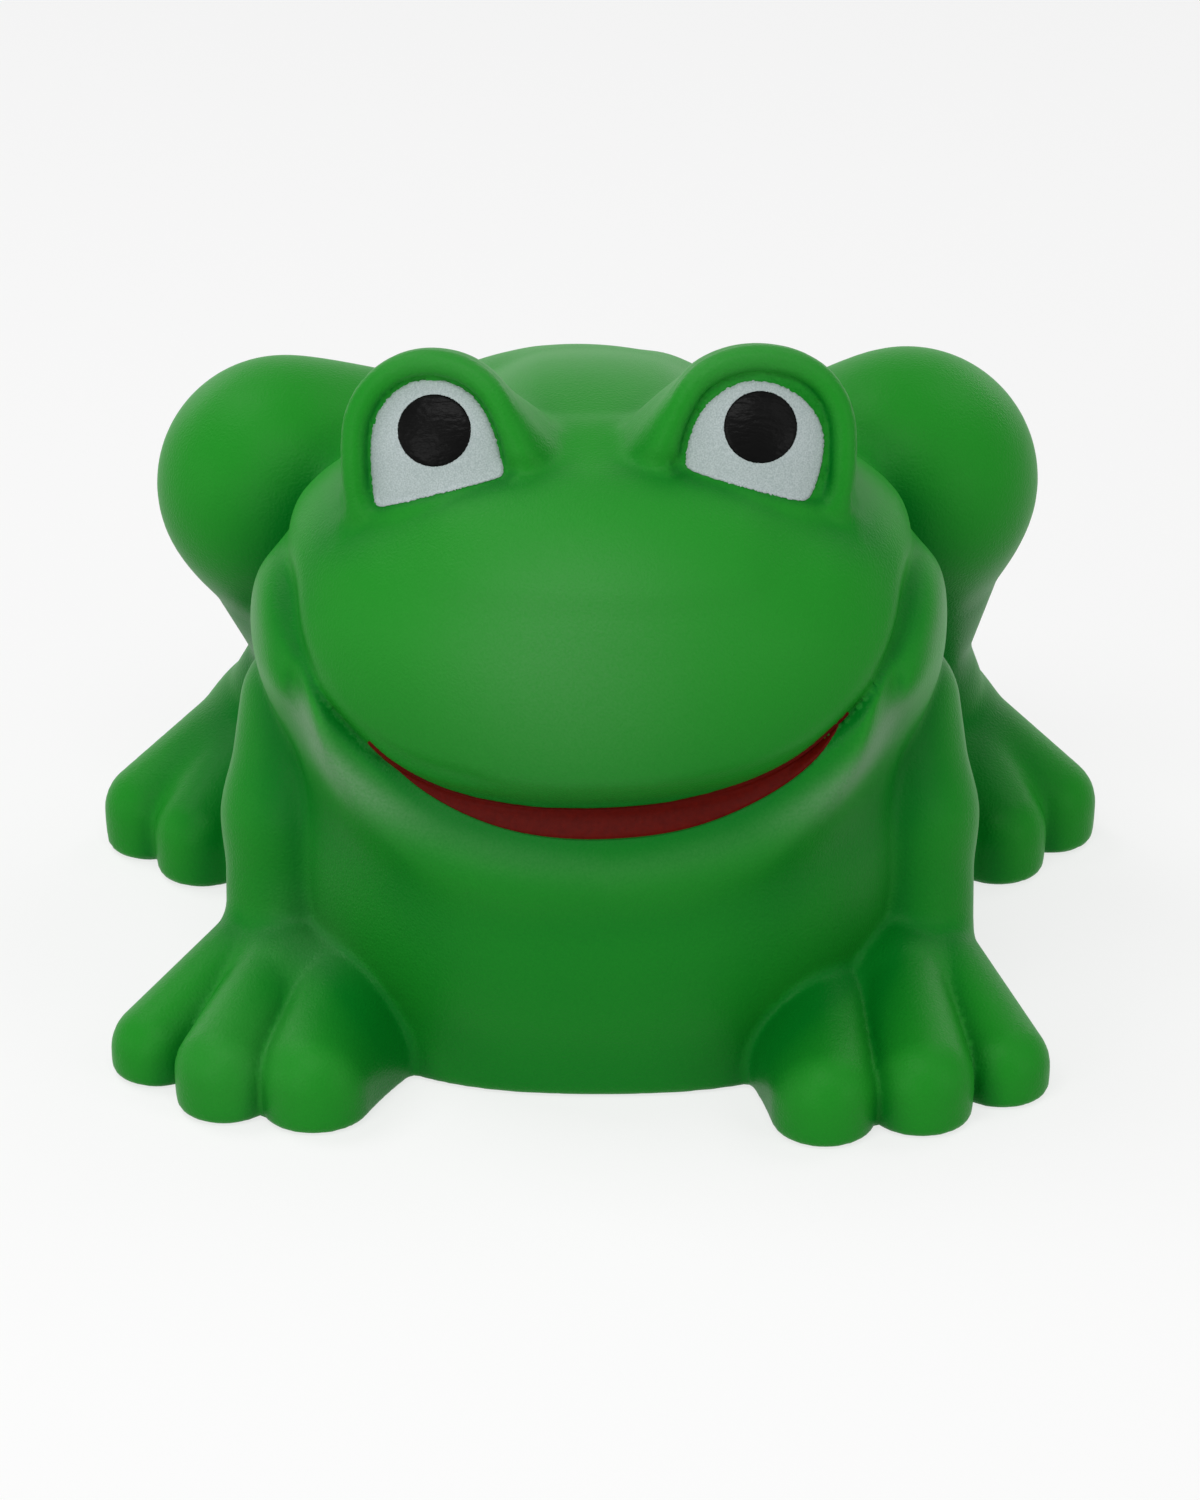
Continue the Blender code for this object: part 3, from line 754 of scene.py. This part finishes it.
STEP = FINE
grid_lines = [
    np.arange(-43, 43.5, STEP),
    stretched_line(-38.3, 38, STEP, BACK_STRETCH * STEP, FINE_UNTIL),
    np.arange(-1.37, 58, STEP),
]
skin_points, skin_quads = surface_nets(frog, grid_lines)
skin = new_piece("frog_skin", skin_points, skin_quads.tolist())
print("skin:", len(skin_quads), "quads, box", skin_points.min(0).round(1), skin_points.max(0).round(1))

# %% [markdown]
# ## Painted shade and painted highlights on the skin
#
# The green is painted darker in the folds and paler in the open, as painted shade, and the lips, the
# cheeks, the muzzle, the hood crowns and the left foot are painted a pale grey green, as painted
# highlights. An ambient occlusion node would only work in one renderer. Here both are measured on the
# field and stored as a number for each vertex.

# %% Openness of the skin, for painted shade
REACHES = (4.0, 12.0, 26.0)
SKYWARD = 1.2
FLAT_SLOPE, SHORTEST = 1e-6, 0.2


def shade_openness(field, p):
    """Mean over reaches d of field(p + d w) / d, with w between normal and straight up: 1 in the open."""
    slope = in_slices(lambda q: gradient(field, q), p)
    ways = slope / np.maximum(length(slope), FLAT_SLOPE)[:, None] + point(0, 0, SKYWARD)
    ways /= np.maximum(length(ways), SHORTEST)[:, None]
    return np.mean([np.clip(in_slices(field, p + d * ways) / d, 0, 1) for d in REACHES], 0)


def mark(piece, name, values):
    """Stores one number for each vertex, for the materials to read."""
    layer = piece.data.attributes.new(name, "FLOAT", "POINT")
    layer.data.foreach_set("value", values.astype(np.float32))


# The openness sets the painted shade: darker green where the skin is closed in, lighter in the open.
skin_shade_openness = shade_openness(frog, skin_points)
mark(skin, "shade_openness", skin_shade_openness)
print("exposure:", np.percentile(skin_shade_openness, (1, 10, 25, 50, 75, 90)).round(2))

# %% Painted highlights on the skin
# Painted highlights: where the lips, cheeks, muzzle rim, hood crowns and round patches turn pale.
LIP_CREST = {-1: (2.6, 0.055), 1: (3.4, 0.045)}
LIP_CREST_TURN = 38
LIP_SHEEN_ABOVE, LIP_SHEEN_BELOW = 0.95, 1.5
LIP_SHEEN_LOSS = 0.86
CHEEK_SHEEN, CHEEK_SHEEN_BELOW, CHEEK_SHEEN_WIDE = 0.35, 3.8, 0.9
RIM_SHEEN, RIM_SHEEN_BELOW, RIM_SHEEN_WIDE = 0.09, -0.9, 0.45
CROWN_SHEEN, CROWN_LEVELS = 0.16, (52.0, 55.5)
SHEEN_PATCHES = {
    "muzzle": ((-2.5, -30.5, 37.5), 9.5, 0.3),
    "instep": ((-22.0, -20.0, 9.0), 3.6, 0.2),
    "toe": ((-26.5, -29.0, 6.0), 5.0, 0.1),
}
SHEEN_FRONT = (6, 14)


def lip_sheen(p, below, turn):
    """Painted highlight: a bell along the crest of the lip, wider below than above, strongest by the
    cheeks.
    """
    crests = [LIP_CREST[side][0] + LIP_CREST[side][1] * (turn - LIP_CREST_TURN) for side in SIDES]
    crest = np.where(p[..., 0] < 0, *crests)
    across = bump(below, crest, np.where(below < crest, LIP_SHEEN_ABOVE, LIP_SHEEN_BELOW))
    return across * ease(turn, 31, 41) * (1 - LIP_SHEEN_LOSS * ease(turn, 46, 70))


def painted_sheen(p):
    """Painted highlights: the largest bell of lip, cheeks, muzzle rim, hood crowns and round patches."""
    below = below_smile(p)
    turn = along_smile(p)
    cheek = CHEEK_SHEEN * bump(below, CHEEK_SHEEN_BELOW, CHEEK_SHEEN_WIDE)
    cheek = cheek * ease(turn, 4, 14) * (1 - ease(turn, 22, 30))
    rim = RIM_SHEEN * bump(below, RIM_SHEEN_BELOW, RIM_SHEEN_WIDE) * ease(turn, 18, 34)
    crown = CROWN_SHEEN * ease(p[..., 2], *CROWN_LEVELS)
    patches = [much * bump(length(p - point(*spot)), 0, wide) for spot, wide, much in SHEEN_PATCHES.values()]
    most = np.max([lip_sheen(p, below, turn), cheek, rim, crown, *patches], 0)
    return most * ease(-p[..., 1], *SHEEN_FRONT)


# Stored for the green's colour, as painted highlight.
skin_painted_sheen = painted_sheen(skin_points)
mark(skin, "painted_sheen", skin_painted_sheen)
print("share of the skin with wear over a tenth:", float((skin_painted_sheen > 0.1).mean().round(3)))

# %% [markdown]
# ## Prints of the eyes
#
# White and black are sprayed through stencils, so each is a very thin plate with a crisp outline that is a
# little uneven. An image texture would blur when seen closely. A plate is a function of two parameters: how
# far along its outline, and how far from its middle to its edge. The same grid is used for the top and, a
# little lower, for the underside, and the two are joined at the rim.

# %% Plate from two sheets
RINGS, SPOKES = 18, 640


def closed_plate(name, top, under):
    """Two sheets of rings x spokes points, each closed in its middle, joined along their last ring."""
    rings, spokes = top.shape[:2]
    ring = np.arange(rings - 1)[:, None] * spokes
    spoke = np.arange(spokes)
    after = (spoke + 1) % spokes
    sheet = np.stack([ring + spoke, ring + spokes + spoke, ring + spokes + after, ring + after], -1)
    sheet = sheet.reshape(-1, 4)
    half = rings * spokes
    last = half - spokes
    rim = np.stack([last + spoke, last + spoke + half, last + after + half, last + after], -1)
    faces = sheet.tolist() + (sheet[:, ::-1] + half).tolist() + rim.tolist()
    faces.append(spoke.tolist())
    faces.append((spoke[::-1] + half).tolist())
    return new_piece(name, np.concatenate([top.reshape(-1, 3), under.reshape(-1, 3)]), faces)


print("faces on a plate:", (2 * RINGS - 1) * SPOKES + 2)

# %% Eye plates
PRINT = 0.3
ANGLES = np.linspace(0, 2 * np.pi, SPOKES, endpoint=False)
MARCH_START, MARCH_STEPS, MARCH_SHARE = 0.8, 14, 0.9
INNER_RING, RING_POWER, CROWN_POWER = 0.02, 0.8, 8


def fuzz(count, spread, seed):
    """Uneven edge of a sprayed print: random steps, each the sum of three neighbours, of this spread."""
    steps = np.random.default_rng(seed).normal(0, spread, count)
    return steps + np.roll(steps, 1) + np.roll(steps, 2)


def eye_height(side, a, b):
    """Height of the hood's front at a, b: march from just over the dome against the eye's axis."""
    axes = eye_axes(side)
    height = dome(a, b) + MARCH_START
    for _ in range(MARCH_STEPS):
        spots = np.stack([a, b, height], -1) @ axes + EYE_MIDDLE[side]
        height = height - MARCH_SHARE * in_slices(frog, spots.reshape(-1, 3)).reshape(a.shape)
    return height


def eye_plate(name, side, reach, place, lift, crown):
    """Plate on the hood's front: a, b from ring and spoke, moved out by lift + crown (1 - r^8)."""
    share = np.linspace(INNER_RING, 1, RINGS)[:, None] ** RING_POWER
    a = place[0] + reach * np.cos(ANGLES) * share
    b = place[1] + reach * np.sin(ANGLES) * share
    height = eye_height(side, a, b)
    axes = eye_axes(side)
    crowned = height + lift + crown * (1 - share**CROWN_POWER)
    top = np.stack([a, b, crowned], -1) @ axes + EYE_MIDDLE[side]
    under = np.stack([a, b, height + lift - PRINT], -1) @ axes + EYE_MIDDLE[side]
    if side < 0:
        top, under = top[:, ::-1], under[:, ::-1]
    return closed_plate(name, top, under)


print("points on a plate:", 2 * RINGS * SPOKES)

# %% Whites and pupils
WHITE_FUZZ, WHITE_SEED = 0.014, 5
WHITE_INSET = 0.08
RIGHT_WHITE_INSET, RIGHT_INSET_ANGLE, RIGHT_INSET_WIDE = 0.08, 1.0, 0.6
WHITE_LIFT, WHITE_CROWN = 0.08, 0.03
PUPIL_FUZZ, PUPIL_SEED = 0.006, 15
PUPIL_RADII = (2.72, 2.57)
PUPIL_PLACE = {1: (-0.26, 1.75), -1: (-0.32, 1.83)}
PUPIL_LIFT, PUPIL_CROWN = 0.14, 0.08


def white_reach(side):
    """Reach of the white at each angle: outline with fuzz, less an inset, more at the right eye's top."""
    table, reaches, _ = WHITE_TABLE[side]
    reach = np.interp(ANGLES, table, reaches, period=2 * np.pi)
    reach = reach + fuzz(SPOKES, WHITE_FUZZ, WHITE_SEED + side)
    more = RIGHT_WHITE_INSET * bump(ANGLES, RIGHT_INSET_ANGLE, RIGHT_INSET_WIDE) if side < 0 else 0
    return reach - WHITE_INSET - more


def pupil_reach(side):
    """Reach of the pupil at each angle: an ellipse with fuzz."""
    reach = 1 / np.hypot(np.cos(ANGLES) / PUPIL_RADII[0], np.sin(ANGLES) / PUPIL_RADII[1])
    return reach + fuzz(SPOKES, PUPIL_FUZZ, PUPIL_SEED + side)


whites, pupils = {}, {}
for side in SIDES:
    white_name = f"eye_white_{SIDE_NAMES[side]}_print"
    whites[side] = eye_plate(white_name, side, white_reach(side), (0, 0), WHITE_LIFT, WHITE_CROWN)
    pupil_name = f"pupil_{SIDE_NAMES[side]}_print"
    pupil_place = PUPIL_PLACE[side]
    pupils[side] = eye_plate(pupil_name, side, pupil_reach(side), pupil_place, PUPIL_LIFT, PUPIL_CROWN)
print("eyes:", [piece.name for piece in (*whites.values(), *pupils.values())])

# %% [markdown]
# ## Mouth
#
# The red is a band of paint in the hollow under the muzzle, tall in front and thin at its ends. It is a
# strip along the smile that is marched back onto the field from the front, so it follows every roll of the
# lip. A projected decal would do the same, but this strip is a closed piece of its own.

# %% Onto the face from the front
FRONT_START, FRONT_STEPS, FRONT_SHARE = -42.0, 80, 0.8


def smile_height(x):
    """Height of the smile at x: top - drop (1 - |x / half|^n)^(1/n), and the tilt."""
    n = SMILE_POWER
    return SMILE_TOP - SMILE_DROP * (1 - np.abs(x / SMILE_HALF) ** n) ** (1 / n) + SMILE_TILT * x


def front_of(field, x, z):
    """y of the first surface in front at x, z: march along +y by a share of the distance itself."""
    y = np.full_like(x, FRONT_START)
    for _ in range(FRONT_STEPS):
        y = y + FRONT_SHARE * field(np.stack([x, y, z], -1))
    return y


print("front of the muzzle's middle:", front_of(frog, point(0), point(32)).round(2))

# %% Mouth
MOUTH_ENDS = (-16.9, 18.1)
MOUTH_TALL, MOUTH_THIN = 1.95, 0.05
MOUTH_TALL_POWERS = (1.6, 4.5)
MOUTH_TALL_ROUND = 0.7
MOUTH_DROP = 1.45
MOUTH_DROP_POWERS = (5, 2.5)
MOUTH_STEPS, MOUTH_ROWS = 161, 15
MOUTH_LIFT = 0.2
MOUTH_PROBE = 0.2


def mouth_sheet(lift):
    """Band under the smile, moved out by lift.

    It starts drop (1 - |t|^k) under the smile and is tall (1 - |t|^n)^m high, with powers for each side.
    """
    t = np.sin(np.linspace(-np.pi / 2, np.pi / 2, MOUTH_STEPS))[:, None]
    w = np.linspace(0, 1, MOUTH_ROWS)[None]
    x = np.where(t < 0, -t * MOUTH_ENDS[0], t * MOUTH_ENDS[1]) + 0 * w
    far = np.minimum(np.abs(t), 1)
    talls = [(1 - far**power) ** MOUTH_TALL_ROUND for power in MOUTH_TALL_POWERS]
    tall = MOUTH_TALL * np.where(t < 0, *talls) + MOUTH_THIN
    drop = MOUTH_DROP * (1 - np.where(t < 0, *(far**power for power in MOUTH_DROP_POWERS)))
    z = smile_height(x) - drop - w * tall
    y = front_of(frog, x.ravel(), z.ravel())
    spots = np.stack([x.ravel(), y, z.ravel()], -1)
    slope = gradient(frog, spots, MOUTH_PROBE)
    spots = spots + lift * slope / np.maximum(length(slope), SHORTEST)[:, None]
    return spots.reshape(*x.shape, 3)


def sheet_solid(name, top, under):
    """Two open sheets of n x m points joined all round their edge."""
    n, m = top.shape[:2]
    number = np.arange(n * m).reshape(n, m)
    quads = np.stack([number[:-1, :-1], number[1:, :-1], number[1:, 1:], number[:-1, 1:]], -1)
    quads = quads.reshape(-1, 4)
    edge = np.concatenate([number[:, 0], number[-1, 1:], number[-2::-1, -1], number[0, -2:0:-1]])
    after = np.roll(edge, -1)
    rim = np.stack([edge, after, after + n * m, edge + n * m], -1)
    faces = np.concatenate([quads[:, ::-1], quads + n * m, rim])
    return new_piece(name, np.concatenate([top.reshape(-1, 3), under.reshape(-1, 3)]), faces.tolist())


mouth = sheet_solid("mouth_red", mouth_sheet(MOUTH_LIFT), mouth_sheet(-PRINT))
print("mouth:", len(mouth.data.polygons), "faces")

# %% [markdown]
# ## Foam core
#
# The soft foam fills the skin and shows only in the pour hole underneath. A scaled copy of the skin would
# poke out between the toes. The trunk's own field, moved inwards, gives a core that lies inside the skin
# everywhere, and a plug stands in the hole. As it is hidden, a coarse grid is enough.

# %% Foam core
CORE_INSET = 2.6
CORE_STEP = 1.6
CORE_ROUND = 1.0
PLUG_GAP, PLUG_BOTTOM, PLUG_TOP, PLUG_ROUND = 0.3, 0.5, 12, 0.5


def core_field(p):
    """The trunk's field moved inwards, and the plug of the pour."""
    plug = np.hypot(p[..., 0], p[..., 1] - HOLE_Y) - HOLE_RADIUS + PLUG_GAP
    plug = carve(plug, np.maximum(PLUG_BOTTOM - p[..., 2], p[..., 2] - PLUG_TOP), PLUG_ROUND)
    return melt(carve(trunk(p) + CORE_INSET, CORE_INSET - p[..., 2], CORE_ROUND), plug, PLUG_ROUND)


core_lines = [np.arange(low, high, CORE_STEP) for low, high in ((-30, 31), (-33, 36), (-1.3, 50))]
core_points, core_quads = surface_nets(core_field, core_lines)
core = new_piece("foam_inside", core_points, core_quads.tolist())
print("core:", len(core_quads), "quads")

# %% [markdown]
# ## Finishes
#
# A finish is a Principled shader whose colour and relief change over the surface. Such node trees can be
# drawn by hand, but a sum reads better as a sum: a small class wraps a node's socket, and arithmetic on it
# adds the Math nodes. Numbers that are the same everywhere are set on the shader's own sockets.

# %% Socket class
class Socket:
    """A value in one material: arithmetic on it adds Math nodes."""

    def __init__(self, tree, output):
        self.tree = tree
        self.output = output

    def node(self, kind, settings=None, **inputs):
        """Adds a node, sets its settings, then its sockets by name or place, and returns the node."""
        made = self.tree.nodes.new(kind)
        for key, value in (settings or {}).items():
            setattr(made, key, value)
        for key, value in inputs.items():
            target = made.inputs[int(key[1:])] if key[0] == "_" else made.inputs[key.replace("_", " ")]
            if isinstance(value, Socket):
                self.tree.links.new(value.output, target)
            else:
                target.default_value = value
        return made

    def take(self, made, place=0):
        return Socket(self.tree, made.outputs[place])

    def math(self, operation, *values):
        inputs = {f"_{i}": value for i, value in enumerate(values)}
        return self.take(self.node("ShaderNodeMath", {"operation": operation}, **inputs))

    def __add__(self, other):
        return self.math("ADD", self, other)

    def __sub__(self, other):
        return self.math("SUBTRACT", self, other)

    def __mul__(self, other):
        return self.math("MULTIPLY", self, other)

    def __rsub__(self, other):
        return self.math("SUBTRACT", other, self)

    __radd__ = __add__
    __rmul__ = __mul__


print("sockets know", [name for name in vars(Socket) if name in ("__add__", "__sub__", "__mul__")])

# %% Helpers for finishes
def finish(name, roughness, **constants):
    """A material with a Principled shader; returns it, its shader and its Object coordinates."""
    material = bpy.data.materials.new(name)
    material.use_nodes = True
    tree = material.node_tree
    shader = tree.nodes["Principled BSDF"]
    shader.inputs["Roughness"].default_value = roughness
    for key, value in constants.items():
        shader.inputs[key.replace("_", " ")].default_value = value
    coordinates = tree.nodes.new("ShaderNodeTexCoord")
    return material, shader, Socket(tree, coordinates.outputs["Object"])


def link(value, shader, name):
    value.tree.links.new(value.output, shader.inputs[name])


def noise(place, scale, detail=2.0):
    """Noise value at so many waves per metre."""
    return place.take(place.node("ShaderNodeTexNoise", None, Vector=place, Scale=scale, Detail=detail))


def mix(place, share, first, second):
    """Colour between first and second; a colour is given as red, green and blue, or as a value."""
    ends = [end if isinstance(end, Socket) else (*end, 1) for end in (first, second)]
    made = place.node("ShaderNodeMix", {"data_type": "RGBA"}, _0=share, _6=ends[0], _7=ends[1])
    return place.take(made, 2)


def bumped(place, shader, height, strength, distance):
    """Fine relief of this distance in metres."""
    made = place.node("ShaderNodeBump", None, Height=height, Strength=strength, Distance=distance)
    link(place.take(made), shader, "Normal")


def attribute(place, name):
    return place.take(place.node("ShaderNodeAttribute", {"attribute_name": name}), "Fac")


def stepped(place, value, low, high):
    """Smooth step of a value between low and high."""
    settings = {"interpolation_type": "SMOOTHSTEP"}
    return place.take(place.node("ShaderNodeMapRange", settings, Value=value, From_Min=low, From_Max=high))


print("materials before the first finish:", len(bpy.data.materials))

# %% [markdown]
# ## Green skin
#
# The skin is satin paint on dense foam, with a fine grain from the mould. One green with a grain would look
# like plastic, so its colour runs from a darker green in the folds to a lighter one in the open, as a
# painted shade that the stored openness gives, with soft mottling. Painted highlights turn it towards a
# pale grey green.

# %% Green skin
# Painted shade: the first green is for closed-in places, the second for open ones; the third is painted
# highlight.
SHADED_GREEN = (0.0012, 0.160, 0.012)
LIT_GREEN = (0.014, 0.265, 0.018)
SHEEN_GREEN = (0.115, 0.285, 0.12)
OPEN_FROM, OPEN_TO = 0.3, 0.9
MOTTLE_WAVES, MOTTLE_SHARE = 160.0, 0.06
GRAIN_WAVES, GRAIN_SHARE, GRAIN_HIGH = 5000.0, 0.12, 0.0001

green, shader, place = finish("green satin skin", 0.4, Specular_IOR_Level=0.08)
mottle = noise(place, MOTTLE_WAVES, 3.0)
grain = noise(place, GRAIN_WAVES)
# Painted shade with mottle and grain: the share between the darker and the lighter green.
shade_and_mottle = attribute(place, "shade_openness") + MOTTLE_SHARE * (mottle - 0.5) + GRAIN_SHARE * (grain - 0.5)
shade_and_mottle_share = stepped(place, shade_and_mottle, OPEN_FROM, OPEN_TO)
# Painted highlight: a share towards the pale grey green, broken up by the grain.
sheen_share = attribute(place, "painted_sheen") * (0.5 + grain)
link(mix(place, sheen_share, mix(place, shade_and_mottle_share, SHADED_GREEN, LIT_GREEN), SHEEN_GREEN), shader, "Base Color")
bumped(place, shader, grain, 0.5, GRAIN_HIGH)
skin.data.materials.append(green)
print("green:", len(green.node_tree.nodes), "nodes")

# %% [markdown]
# ## Prints and foam
#
# The white is matt and speckled where the spray dried. The black is glossy, with fine strokes across it
# that break up its reflections. The red is satin with darker streaks, and the foam is rough. Painted
# images could show this, but one noise each, mixed between two colours and used as relief, is all that
# shows at this size.

# %% White, black, red and foam
white, shader, place = finish("white print", 0.6, Specular_IOR_Level=0.3)
speck = noise(place, 9000.0)
speckle = stepped(place, speck, 0.3, 0.7)
link(mix(place, speckle, (0.36, 0.43, 0.43), (0.50, 0.57, 0.57)), shader, "Base Color")
bumped(place, shader, speck, 0.3, 0.00010)

black, shader, place = finish("black gloss print", 0.3, Specular_IOR_Level=0.06)
stretch = {"operation": "MULTIPLY"}
flat = place.take(place.node("ShaderNodeVectorMath", stretch, _0=place, _1=(0.5, 1, 1)))
brushed = noise(flat, 2800.0)
link(mix(place, brushed, (0.0015, 0.0015, 0.0015), (0.003, 0.003, 0.003)), shader, "Base Color")
bumped(place, shader, brushed, 0.55, 0.00012)

red, shader, place = finish("dark red print", 0.45, Specular_IOR_Level=0.05)
streak = noise(place, 2200.0, 3.0)
link(mix(place, streak, (0.065, 0.002, 0.001), (0.13, 0.005, 0.002)), shader, "Base Color")
bumped(place, shader, streak, 0.3, 0.00012)

foam, shader, place = finish("open foam", 0.9)
foam_cells = noise(place, 1800.0, 3.0)
link(mix(place, foam_cells, (0.10, 0.30, 0.08), (0.16, 0.40, 0.13)), shader, "Base Color")
bumped(place, shader, foam_cells, 0.6, 0.0003)

COATS = [(mouth, red), (core, foam)]
for side in SIDES:
    COATS += [(whites[side], white), (pupils[side], black)]
for piece, material in COATS:
    piece.data.materials.append(material)
print("finishes:", sorted({material.name for _, material in COATS}))

# %% [markdown]
# ## Places in the frame
#
# Every piece rides on the one body of the part and takes the place of its CAD node, which stays hidden
# for the collisions. Parenting by hand would do the same. The skin and the core are soft foam.

# %% Ride and replace
ROLES = [
    (skin, "skin", "green_skin"),
    (core, "foam_core", "soft_foam"),
    (mouth, "mouth_print", "red_print"),
]
for side in SIDES:
    ROLES.append((whites[side], f"eye_white_{SIDE_NAMES[side]}", "white_print"))
    ROLES.append((pupils[side], f"pupil_{SIDE_NAMES[side]}", "black_print"))
for piece, node, slot in ROLES:
    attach(piece, "root")
    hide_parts(node)
print("replaced nodes:", [node for _, node, _ in ROLES])

# %% [markdown]
# ## Studio
#
# The photograph has a white ground and broad soft light, most of it from above in front and from the left.
# One large lamp in a white world would be simpler, but it leaves the hoods and toes flat. Nine soft lamps
# around the toy stand for the walls and ceiling of a light tent. The floor is pale grey for the lamps, so
# that the shadow stays, and a glow lifts it to white for the camera and for reflections. The surround is
# white for them too, and dim as a light.

# %% Floor
SEEN_RAYS = ("Is Camera Ray", "Is Glossy Ray", "Is Transmission Ray")
FLOOR_HALF = 3.0
FLOOR_LEVEL = -0.00005
FLOOR_GREY = 0.25
FLOOR_BOUNCE, FLOOR_WHITE = 0.45, 0.74

floor_mesh = bpy.data.meshes.new("floor")
floor_plan = ((-1, -1), (1, -1), (1, 1), (-1, 1))
floor_corners = [(x * FLOOR_HALF, y * FLOOR_HALF, FLOOR_LEVEL) for x, y in floor_plan]
floor_mesh.from_pydata(floor_corners, [], [(0, 1, 2, 3)])
floor = bpy.data.objects.new("floor", floor_mesh)
bpy.context.scene.collection.objects.link(floor)

pale, shader, place = finish("pale floor", 0.9, Specular_IOR_Level=0.0)
shader.inputs["Base Color"].default_value = (FLOOR_GREY, FLOOR_GREY, FLOOR_GREY, 1)
light_path = place.node("ShaderNodeLightPath")
seen = sum(place.take(light_path, kind) for kind in SEEN_RAYS)
bounce = place.take(place.node("ShaderNodeEmission", None, Strength=FLOOR_BOUNCE))
white_glow = place.take(place.node("ShaderNodeEmission", None, Strength=FLOOR_WHITE))
glow = place.take(place.node("ShaderNodeMixShader", None, _0=seen, _1=bounce, _2=white_glow))
both = place.node("ShaderNodeAddShader", None, _0=Socket(place.tree, shader.outputs[0]), _1=glow)
surface = next(n for n in place.tree.nodes if n.type == "OUTPUT_MATERIAL")
place.tree.links.new(both.outputs[0], surface.inputs["Surface"])
floor_mesh.materials.append(pale)
print("floor:", 2 * FLOOR_HALF, "m wide")

# %% World
SURROUND = 0.12

world = bpy.data.worlds.new("white surround")
bpy.context.scene.world = world
world.use_nodes = True
tree = world.node_tree
background = tree.nodes["Background"]
background.inputs["Color"].default_value = (1, 1, 1, 1)
path = tree.nodes.new("ShaderNodeLightPath")
seen = sum(Socket(tree, path.outputs[kind]) for kind in SEEN_RAYS)
tree.links.new((seen * (1 - SURROUND) + SURROUND).output, background.inputs["Strength"])
print("surround as a light:", SURROUND)

# %% Lamps
LAMP_TARGET = (0, 0, 25)
LAMPS = {
    "key": ((-51, -242, 365), (280, 120), 0.62),
    "front left": ((-200, -350, 130), (180, 160), 0.34),
    "left": ((-400, -108, 110), (180, 180), 0.15),
    "right": ((330, -258, 110), (160, 160), 0.22),
    "high right": ((246, -207, 295), (160, 160), 0.12),
    "upper left": ((-202, 94, 381), (200, 200), 0.52),
    "upper right": ((224, 129, 356), (200, 200), 0.26),
    "rim right": ((230, 340, 130), (180, 180), 0.1),
    "rim left": ((-230, 340, 130), (180, 180), 0.1),
}


def soft_lamp(name, place_mm, size_mm, watts):
    """A lamp of this width and height that faces the target."""
    data = bpy.data.lights.new(name, "AREA")
    data.shape = "RECTANGLE"
    data.size = size_mm[0] * MM
    data.size_y = size_mm[1] * MM
    data.energy = watts
    lamp = bpy.data.objects.new(name, data)
    aim = Vector(LAMP_TARGET) - Vector(place_mm)
    lamp.location = Vector(place_mm) * MM
    lamp.rotation_euler = aim.to_track_quat("-Z", "Y").to_euler()
    bpy.context.scene.collection.objects.link(lamp)


for name, lamp_facts in LAMPS.items():
    soft_lamp(name, *lamp_facts)
print("lamps:", ", ".join(LAMPS))

# %% [markdown]
# ## Camera
#
# The photograph looks down at the frog by about 25 degrees from straight in front, from about half a metre.
# A camera could be matched by eye in the viewport, but numbers can be measured and changed one at a time.
# The lens follows from the scale at the target and the 1200 x 1500 picture.

# %% Camera
ELEVATION = math.radians(25)
DISTANCE = 500.0
TARGET = (0.0, -23.5, 27.0)
PIXELS_PER_MM = 13.6
PICTURE_TALL = 1500
SENSOR = 36.0

camera_data = bpy.data.cameras.new("camera")
camera_data.sensor_width = SENSOR
camera_data.lens = PIXELS_PER_MM * DISTANCE / PICTURE_TALL * SENSOR
camera_data.clip_start = 0.01
camera = bpy.data.objects.new("camera", camera_data)
camera.location = [
    TARGET[0] * MM,
    (TARGET[1] - DISTANCE * math.cos(ELEVATION)) * MM,
    (TARGET[2] + DISTANCE * math.sin(ELEVATION)) * MM,
]
camera.rotation_euler = (math.pi / 2 - ELEVATION, 0, 0)
bpy.context.scene.collection.objects.link(camera)
bpy.context.scene.camera = camera
bpy.context.scene.view_settings.view_transform = "Standard"
print("lens:", round(camera_data.lens, 1), "mm")

# %% [markdown]
